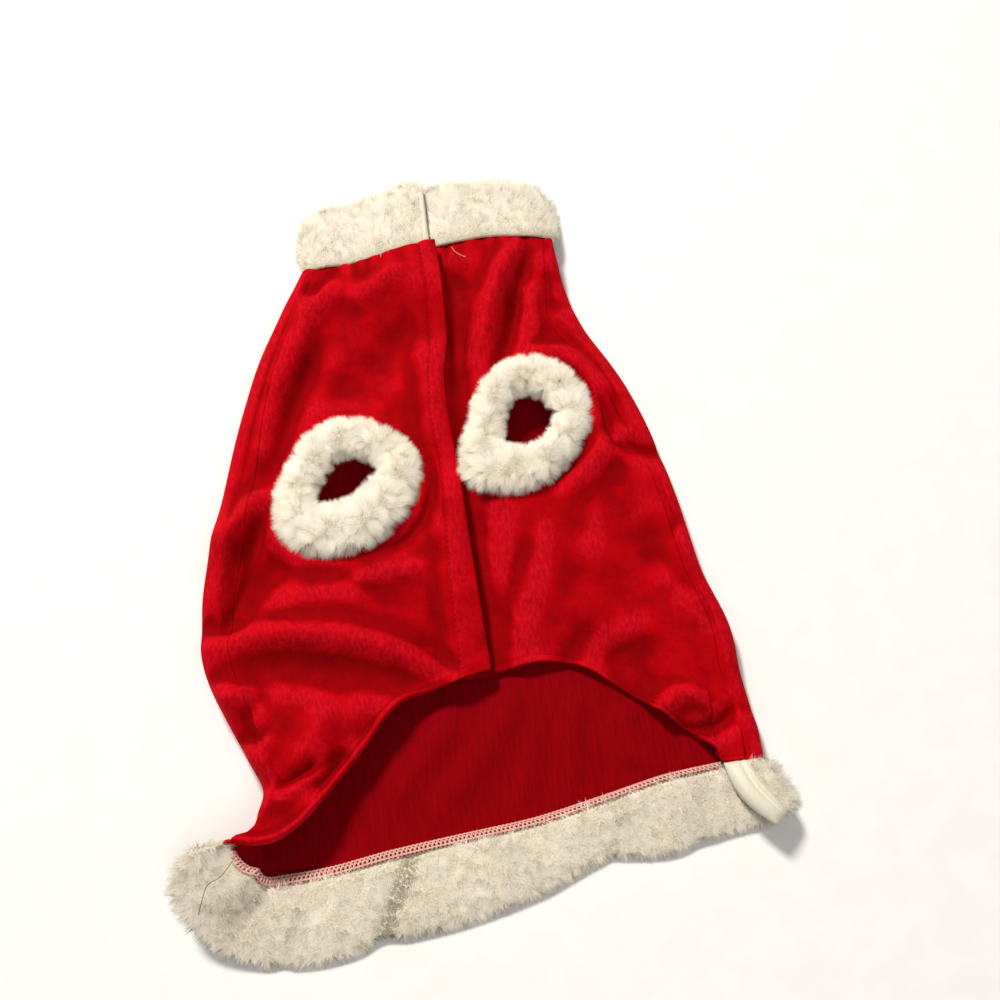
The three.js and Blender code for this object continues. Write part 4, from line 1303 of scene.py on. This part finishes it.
class COAT_OT_fronts(bpy.types.Operator):
    """Make both fronts: walls over a smooth patch between the side seam, neck, closure and belly edges.

    The left one runs on into its doubled closing edge, past a stitched groove.
    """

    bl_idname = "coat.fronts"
    bl_label = "Fronts"

    def execute(self, context):
        self.left()
        self.right()
        return {"FINISHED"}

    def left(self):
        """The left front, with its closing edge as a crown past the seam and its belly edge as a roll."""
        size = settings("coat_cloth")
        (width, length), rim = LEFT_GRID, size["turned"] / 2
        vs = front_rows(length)
        us = rim_shares(int(width / size["step"]), width, rim)
        us = us[us <= 1 - 0.2 / width]
        by_stitches = np.array([0, 0.03, 0.06, 0.1, 0.16, 0.3, 0.45, 0.6, 0.72, 0.82])
        by_rim = 1 - rim * np.array([1, 0.55, 0.25, 0.06, 0]) / CLOSING_WIDTH
        closing = np.unique(np.concatenate([by_stitches, by_rim]))
        u, v = np.meshgrid(us, vs)
        cu, cv = np.meshgrid(closing, vs)
        plan = np.concatenate([left_plan(u, v), closure_edge(cu, cv)], axis=1)
        side = np.concatenate([u * width, np.full_like(cu, width)], axis=1)
        past = np.concatenate([(u - 1) * width, cu * CLOSING_WIDTH], axis=1)
        belly = (1 - np.concatenate([v, cv], axis=1)) * length
        doubled = smooth(-0.3, 0.9, past)
        thickness = mix(belly_thickness(belly), size["turned"], doubled)
        thickness -= size["groove"] * np.exp(-((past / 0.7) ** 2))
        outer = CLOSING_WIDTH - past
        thickness *= rounded_rim(belly, rim) * rounded_rim(outer, rim)
        thickness *= rounded_rim(side, size["thickness"] / 4)

        def height(x, y):
            """Middle of the front, with a crown along its closing edge and a roll along its belly edge."""
            crown = CROWN_HIGH * np.sin(np.pi * np.clip(past / CLOSING_WIDTH, 0, 1)) ** 0.8
            roll = ROLL_HIGH * np.exp(-(((belly - ROLL_MIDDLE) / ROLL_WIDE) ** 2))
            roll = roll * (1 - doubled) * smooth(-20, -45, x)
            return left_height(x, y) + crown + roll

        obj = front_shell("front_left_cloth", plan, height, thickness, LEFT_RING)
        finish_piece(obj, ["front_left", "closing_edge"])

    def right(self):
        """The right front, which dips beside the closure and runs under the left one."""
        size = settings("coat_cloth")
        (width, length), rim = RIGHT_GRID, size["turned"] / 2
        vs = front_rows(length)
        us = rim_shares(int(width / size["step"]), width, rim)
        u, v = np.meshgrid(us, vs)
        plan = right_plan(u, v)
        belly = (1 - v) * length
        sides = np.minimum(u, 1 - u) * width
        thickness = belly_thickness(belly) * rounded_rim(belly, rim) * rounded_rim(sides, rim)

        def height(x, y):
            """Middle of the front, with its dip beside the closure and a slight lift at the belly edge."""
            least = lower_height(x, y) + LAYER_CLEARANCE
            dip = np.maximum(upper_height(x, y) + folds_at(GUTTERS, x, y), least)
            return dip + 0.4 * smooth(5, 1.5, belly)

        obj = front_shell("front_right_cloth", plan, height, thickness, RIGHT_RING)
        finish_piece(obj, ["front_right"])


class COAT_OT_collar(bpy.types.Operator):
    """Make the collar: a doubled strip along its path round the neck, and its pile.

    The strip is a flattened oval at each station, from the neck seam to the free edge.
    """

    bl_idname = "coat.collar"
    bl_label = "Collar"

    def execute(self, context):
        size = settings("coat_fur")
        t = np.concatenate([np.linspace(0, 0.03, 14)[:-1], np.linspace(0.03, 1, 150)])
        path = {name: column(values, t) for name, values in COLLAR_PATH.items()}
        x, z = path["x"], path["z"]
        sewn = np.stack([x, seam_at(NECK_SEAM, x) - 0.4, z], axis=-1)
        free = np.stack([x, path["top"] - size["inset"] * 1.2, z], axis=-1)
        end = t * (len(COLLAR_PATH["x"]) - 1) * (COLLAR_PATH["x"][0] - COLLAR_PATH["x"][1])
        thick = (path["thick"] - 1.3 * size["inset"]) * rounded_rim(end, 2.5)
        core = strip_rings(sewn, free, thick[:, None])
        bare = (end < COLLAR_BARE)[:-1]
        looks = [material("plush_backing"), material("smooth_backing")]
        obj = ring_mesh("collar_core", core, looks, closed=False, slots=bare)
        finish_piece(obj, ["collar"])
        hidden = core[:-1].mean(axis=1)[:, 2:] < 8
        below = hidden & (core[:-1, :, 2] < 3.5)
        spread = np.where(below, 0.3, np.where(hidden, 0.6, 1.0)) * np.where(bare, 0, 1)[:, None]
        spread[:, [0, -1]] = 0
        spread[:, [1, -2]] *= SEWN_SIDE_SHARE

        def comb(root):
            """Along the collar in waves and up from its seam."""
            wander = np.sin(root[:, :1] / 6.3 + 2 * np.sin(root[:, 1:2] / 7.0))
            way = np.concatenate([0.9 * wander, np.full_like(wander, 0.55), -0.1 * wander], axis=1)
            seam = smooth(6, 0, root[:, 1:2] - seam_at(NECK_SEAM, root[:, :1]))
            return way * (1 - seam) + seam * np.array([0, 0.35, 0])

        pile = grow("collar_pile", core, spread, size["collar_strands"], 11, comb, reach=0.85, lie=0.5)
        finish_piece(pile)
        return {"FINISHED"}


class COAT_OT_leg_rings(bpy.types.Operator):
    """Make the fur ring round each leg hole: a bound roll on its front, and tufts that radiate from it.

    The roll's section is an oval between the ring's inner and outer edge, at each angle about the hole.
    """

    bl_idname = "coat.leg_rings"
    bl_label = "Leg rings"

    def execute(self, context):
        self.make("leg_ring_left", LEFT_RING, 21, "front_left_cloth")
        self.make("leg_ring_right", RIGHT_RING, 22, "front_right_cloth")
        return {"FINISHED"}

    def make(self, node, ring, seed, rests_on):
        """One ring, its roll seated on a front, with few strands on its underside."""
        size = settings("coat_fur")
        angle = np.linspace(0, 360, 97)
        turn = np.radians(angle)
        inner = ring_edge(ring, angle, "inner") + size["inset"] * 1.9
        outer = ring_edge(ring, angle, "outer") - size["inset"] * 1.5
        section = np.linspace(0, 2 * np.pi, 17)[:-1]
        radius = (inner + outer)[:, None] / 2 + (outer - inner)[:, None] / 2 * np.cos(section)
        x = ring["centre"][0] + radius * np.cos(turn)[:, None]
        y = ring["centre"][1] + radius * np.sin(turn)[:, None]
        tall = RING_HIGH - size["inset"] * 1.2
        z = upper_height(x, y) + 1 + tall * (0.5 + 0.5 * np.sin(section))
        core = np.stack([x, y, z], axis=-1)
        obj = ring_mesh(node + "_core", core[:-1], [material("plush_backing")], closed=True)
        finish_piece(obj, [node])
        up_share = np.sin(section + np.pi / 16)
        share = np.where(up_share < -0.6, 0.05, np.where(up_share < -0.1, 0.6, 1.0))
        spread = np.broadcast_to(share, core[:-1].shape[:2])

        def comb(root):
            """Away from the ring's middle line on both sides of it, and round it in waves."""
            away = root - np.array([*ring["centre"], 0])
            away[:, 2] = 0
            away = unit(away)
            far, angle = ring_polar(ring, root[:, 0], root[:, 1])
            rim = (ring_edge(ring, angle, "inner") + ring_edge(ring, angle, "outer")) / 2
            outside = np.clip((far - rim) / 7, -1, 1)[:, None]
            swirl = np.stack([-away[:, 1], away[:, 0], np.zeros(len(away))], axis=1)
            wander = np.sin(np.radians(angle) * 9 + far / 5)[:, None]
            return away * outside + swirl * 0.45 * wander

        count = size["ring_strands"]
        pile = grow(node + "_pile", core, spread, count, seed, comb, reach=1.15, pull=0.35, lie=0.5)
        finish_piece(pile)


def hem_path(t):
    """Sewn and free side of the hem band at shares of its length, and the shares across the back."""
    path = {name: column(values, t) for name, values in HEM_PATH.items()}
    u = np.minimum(path["seam"], 1)
    end = back_surface(u, np.ones_like(u))
    onward = unit(end - back_surface(u, np.full_like(u, 0.999))) * 0.4
    past = np.maximum(path["seam"] - 1, 0) * HEM_RUN_ON
    x, y = end[:, 0] - past, end[:, 1]
    z = np.where(past > 0, upper_height(x, y), end[:, 2])
    free = np.stack([path["x"], path["y"], path["z"]], axis=-1)
    return np.stack([x, y, z], axis=-1) - onward, free, path["seam"]


class COAT_OT_hem_band(bpy.types.Operator):
    """Make the hem band: a doubled strip from the back's lower edge to its free edge, and its pile.

    It stands up at its left end and turns over the right side fold, where a bare strip ends it.
    """

    bl_idname = "coat.hem_band"
    bl_label = "Hem band"

    def execute(self, context):
        size = settings("coat_fur")
        t = np.concatenate([np.linspace(0, 0.92, 180)[:-1], np.linspace(0.92, 1, 40)])
        sewn, free, seam = hem_path(t)
        free = free - unit(free - sewn) * size["inset"] * 1.3
        thick = np.full((len(t), len(ACROSS)), HEM_WALL - 1.7 * size["inset"])
        thick *= rounded_rim(t * HEM_LENGTH, 3)[:, None]
        floor = smooth(12, 6, free[:, 2])
        crease = np.zeros_like(thick)
        for sewn_x, free_x, wide, deep in zip(*(HEM_CREASES[name] for name in "sewn free wide deep".split())):
            off = mix(sewn[:, :1], free[:, :1], ACROSS) - mix(sewn_x, free_x, ACROSS)
            dip = deep * np.exp(-((off / wide) ** 2)) * floor[:, None]
            thick *= 1 - dip
            crease = np.maximum(crease, dip)
            free[:, 1] += 4 * dip[:, -1]
        tab = (HEM_PATH["seam"][-1] - seam) * HEM_RUN_ON
        padded = thick[:, :1] + TAB_PADDING * smooth(TAB_BARE + 0.5, TAB_BARE - 2, tab)[:, None]
        closed = (1 - 0.4 * np.exp(-(((tab - TAB_SEAM) / 0.8) ** 2))) * rounded_rim(tab, TAB_RIM)
        thick = mix(thick, padded, smooth(TAB_BARE + 0.5, TAB_BARE - 1, tab)[:, None]) * closed[:, None]
        core = strip_rings(sewn, free, thick, bow=TAB_BOW * smooth(14, 3, tab))
        bare = tab < TAB_BARE
        looks = [material("plush_backing"), material("smooth_backing")]
        obj = ring_mesh("hem_core", core, looks, closed=False, slots=bare[:-1])
        finish_piece(obj, ["hem_band"])
        floor_side = (core[:-1, :, 2] < 3.2) & (free[:-1, 2:] < 6)
        spread = np.where(floor_side, 0.3, 1.0)
        spread = spread * np.where(bare[:-1, None], 0.0, 1.0)
        unstitched = seam[:-1, None] < OVERLOCK_SPAN[0]
        spread[:, [0, -1]] *= np.where(unstitched, 1, 0)
        spread[:, [1, -2]] *= np.where(unstitched, 1, SEWN_SIDE_SHARE)
        # In creases, and in the patch inside the standing end where wear shortens the pile, strands are
        # shorter and painted darker as the shade that falls there.
        pressed_and_shaded = np.concatenate([crease, crease[:, -2:0:-1]], axis=1)[:-1]
        off = np.hypot(core[:-1, :, 0] - WORN_SHADED_PATCH[0], core[:-1, :, 1] - WORN_SHADED_PATCH[1])
        inner = np.arange(core.shape[1]) >= len(ACROSS) - 1
        worn_and_shaded = np.maximum(np.clip(2 * pressed_and_shaded, 0, 1), 0.75 * inner * np.exp(-((off / WORN_SHADED_PATCH[2]) ** 4)))

        def comb(root):
            """Down the band in waves, and out past its standing end."""
            wander = np.sin(root[:, :1] / 7.1 + 1.8 * np.sin(root[:, 1:2] / 9.0))
            down = np.concatenate([0.15 + 0.8 * wander, np.full_like(wander, -0.75), -0.1 * wander], axis=1)
            near = smooth(-128, -146, root[:, :1])
            return down * (1 - near) + near * np.array([-0.9, -0.3, 0.1])

        pile = grow("hem_pile", core, spread, size["hem_strands"], 31, comb, lie=0.35, worn_and_shaded=worn_and_shaded)
        finish_piece(pile)
        return {"FINISHED"}


class COAT_OT_stitching(bpy.types.Operator):
    """Make the sewing: the overlock along the hem, the closure's plain stitches, and two loose ends.

    Each overlock stitch is an arc across the seam, tied to the next by zigzags along its edges and middle.
    """

    bl_idname = "coat.stitching"
    bl_label = "Stitching"

    def execute(self, context):
        self.overlock()
        self.plain()
        self.loose_ends()
        return {"FINISHED"}

    def overlock(self):
        """Arcs across the back's lower edge, on its inner face, and the three zigzags that tie them."""
        size = settings("coat_stitch")
        rng = np.random.default_rng(5)
        fine = np.linspace(*OVERLOCK_SPAN, 900)
        line = back_surface(fine, np.ones_like(fine))
        run = np.concatenate([[0], np.cumsum(np.linalg.norm(np.diff(line, axis=0), axis=1))])
        count = int(run[-1] / size["overlock_pitch"])
        at = np.linspace(0, run[-1], count)
        u = np.interp(at, run, fine)
        half_wall = settings("coat_cloth")["thickness"] * 0.75

        def place(u, inset, lift):
            """Points on the cloth's inner face, inset from the lower edge and lifted off it."""
            v = 1 - inset / BACK_GRID[1]
            here = back_surface(u, v)
            du = back_surface(np.minimum(u + 0.015, 1), v) - back_surface(u - 0.015, v)
            dv = here - back_surface(u, v - 1e-3)
            inner = -unit(np.cross(du, dv))
            return here + inner * (half_wall + lift)[..., None]

        steps = 9
        share = np.linspace(0, 1, steps)
        width = size["overlock_width"]
        inset = np.tile(-0.7 + share * (width + 0.5), (count, 1)) + rng.normal(size=(count, 1)) * 0.12
        skew = np.gradient(u)[:, None] * (share - 0.5) * 0.35
        lift = np.tile(1.1 * np.sin(np.pi * share) ** 0.5 - 0.1, (count, 1))
        bars = place(np.clip(u[:, None] + skew, 0, 1), inset, lift)
        parts = [tubes(bars, size["thread"])]
        for edge, swing in ((0.2, 0.6), (width * 0.5, 1.6), (width - 0.4, 0.8)):
            zig = edge + swing * np.where(np.arange(count * 2) % 2, 0.5, -0.5)
            uz = np.interp(np.linspace(0, count - 1, count * 2), np.arange(count), u)
            parts.append(tubes(place(uz, zig, np.full(count * 2, 0.75))[None], size["thread"] * 0.85))
        points, quads = join(parts)
        finish_piece(new_object("overlock", points, [quads], [material("pink_thread")]))

    def plain(self):
        """One row of stitches down the closing edge, and a box of them round its foot."""
        size = settings("coat_stitch")
        wall = settings("coat_cloth")["turned"] / 2
        near, far, top, box, foot = 0.06, 0.88, 0.02, 0.905, 0.972  # shares across and down the closing edge
        rows = [
            closure_edge(np.full(400, near), np.linspace(top, foot, 400)),
            closure_edge(np.linspace(near, far, 60), np.full(60, box)),
            closure_edge(np.linspace(near, far, 60), np.full(60, foot)),
            closure_edge(np.full(60, far), np.linspace(box, foot, 60)),
        ]
        plan = np.concatenate([self.dashes(row, size["plain_pitch"]) for row in rows])
        z = left_height(plan[..., 0], plan[..., 1]) + wall + 0.35
        arc = np.array([-0.55, 0.0, 0.1, 0.0, -0.55])
        paths = np.concatenate([plan, (z + arc)[..., None]], axis=-1)
        points, quads = tubes(paths, PLAIN_RADIUS)
        finish_piece(new_object("closure_stitches", points, [quads], [material("red_thread")]))

    def dashes(self, line, pitch):
        """Short runs of five points along a plan line, with gaps between them."""
        run = np.concatenate([[0], np.cumsum(np.linalg.norm(np.diff(line, axis=0), axis=1))])
        starts = np.arange(0, run[-1] - pitch, pitch)
        at = starts[:, None] + pitch * 0.78 * np.linspace(0, 1, 5)
        return np.stack([np.interp(at, run, line[:, 0]), np.interp(at, run, line[:, 1])], axis=-1)

    def loose_ends(self):
        """A light thread end at the collar and a dark one at the hem, each a smooth curve."""
        t = np.linspace(0, 1, 24)
        for name, route, look in (
            ("loose_thread_light", LIGHT_END, "pink_thread"),
            ("loose_thread_dark", DARK_END, "dark_thread"),
        ):
            path = np.stack([column(route[axis], t) for axis in "xyz"], axis=-1)
            points, quads = tubes(path[None], LOOSE_RADIUS)
            finish_piece(new_object(name, points, [quads], [material(look)]))


class COAT_OT_stage(bpy.types.Operator):
    """Make the floor, the lights and the camera."""

    bl_idname = "coat.stage"
    bl_label = "Stage"

    def execute(self, context):
        self.floor()
        self.lights(context)
        self.camera(context)
        return {"FINISHED"}

    def floor(self):
        """A wide pale square just under the coat."""
        corners = np.array([(-1, -1), (1, -1), (1, 1), (-1, 1)]) * FLOOR_REACH
        points = np.column_stack([corners, np.full(4, -FLOOR_DROP)])
        n = Nodes("pale_floor")
        grain = n.noise(60, 3)
        look = n.finish(n.ramp(grain, (0.4, (0.86, 0.86, 0.86)), (0.6, (0.88, 0.88, 0.88))), 0.9)
        floor = new_object("stage_floor", points, [np.arange(4)[None]], [look])

    def lights(self, context):
        """A weak even light all round, a key lamp past the neck and a wide fill lamp past the hem."""
        world = context.scene.world or bpy.data.worlds.new("studio")
        context.scene.world = world
        world.use_nodes = True
        background = world.node_tree.nodes["Background"]
        background.inputs["Color"].default_value = (1.0, 0.98, 0.95, 1)
        background.inputs["Strength"].default_value = 0.2
        for name, place, size, power, tint in (
            ("key", (-0.63, 1.42, 1.72), 0.42, 61, (1.0, 0.95, 0.87)),
            ("fill", (0.2, -0.9, 1.4), 1.2, 8, (1.0, 0.97, 0.94)),
        ):
            data = bpy.data.lights.new(name, "AREA")
            data.size = size
            data.energy = power
            data.color = tint
            lamp = bpy.data.objects.new(name, data)
            lamp.location = place
            lamp.rotation_euler = self.towards(np.array(place), np.zeros(3))
            context.scene.collection.objects.link(lamp)

    def towards(self, place, target):
        """The turn that points a lamp's or a camera's own -Z from its place to a target."""
        return Vector(target - place).to_track_quat("-Z", "Y").to_euler()

    def camera(self, context):
        """A camera on a ball round its target, turned by azimuth and raised by elevation."""
        stage = context.scene.coat_stage
        az, el = stage.azimuth, stage.elevation
        back = np.array([math.sin(az) * math.cos(el), -math.cos(az) * math.cos(el), math.sin(el)])
        target = np.array([stage.target_x, stage.target_y, 0])
        data = bpy.data.cameras.new("camera")
        data.lens = stage.lens
        data.sensor_width = 36
        camera = bpy.data.objects.new("camera", data)
        camera.location = target + back * stage.distance
        camera.rotation_euler = self.towards(np.array(camera.location), target)
        context.scene.collection.objects.link(camera)
        context.scene.camera = camera
        context.scene.view_settings.view_transform = "Standard"
        context.scene.view_settings.look = "None"


class COAT_PT_panel(bpy.types.Panel):
    """The coat's steps in order."""

    bl_label = "Festive dog coat"
    bl_idname = "COAT_PT_panel"
    bl_space_type = "VIEW_3D"
    bl_region_type = "UI"
    bl_category = "Coat"

    def draw(self, context):
        """A button for each step."""
        for operator in STEPS:
            self.layout.operator(operator.bl_idname)


STEPS = (
    COAT_OT_stage,
    COAT_OT_back,
    COAT_OT_fronts,
    COAT_OT_collar,
    COAT_OT_leg_rings,
    COAT_OT_hem_band,
    COAT_OT_stitching,
)
GROUPS = (
    ("coat_cloth", ClothSettings),
    ("coat_fur", FurSettings),
    ("coat_stitch", StitchSettings),
    ("coat_stage", StageSettings),
    ("coat_colours", ColourSettings),
)


def register():
    """Register the settings groups, the steps and the panel."""
    for name, group in GROUPS:
        bpy.utils.register_class(group)
        setattr(bpy.types.Scene, name, bpy.props.PointerProperty(type=group))
    for item in (*STEPS, COAT_PT_panel):
        bpy.utils.register_class(item)


def unregister():
    """Take away what register made, in reverse."""
    for item in reversed((*STEPS, COAT_PT_panel)):
        bpy.utils.unregister_class(item)
    for name, group in reversed(GROUPS):
        delattr(bpy.types.Scene, name)
        bpy.utils.unregister_class(group)


def main():
    """Make every piece in order."""
    register()
    for operator in STEPS:
        space, name = operator.bl_idname.split(".")
        getattr(getattr(bpy.ops, space), name)()


if __name__ == "__main__":
    main()
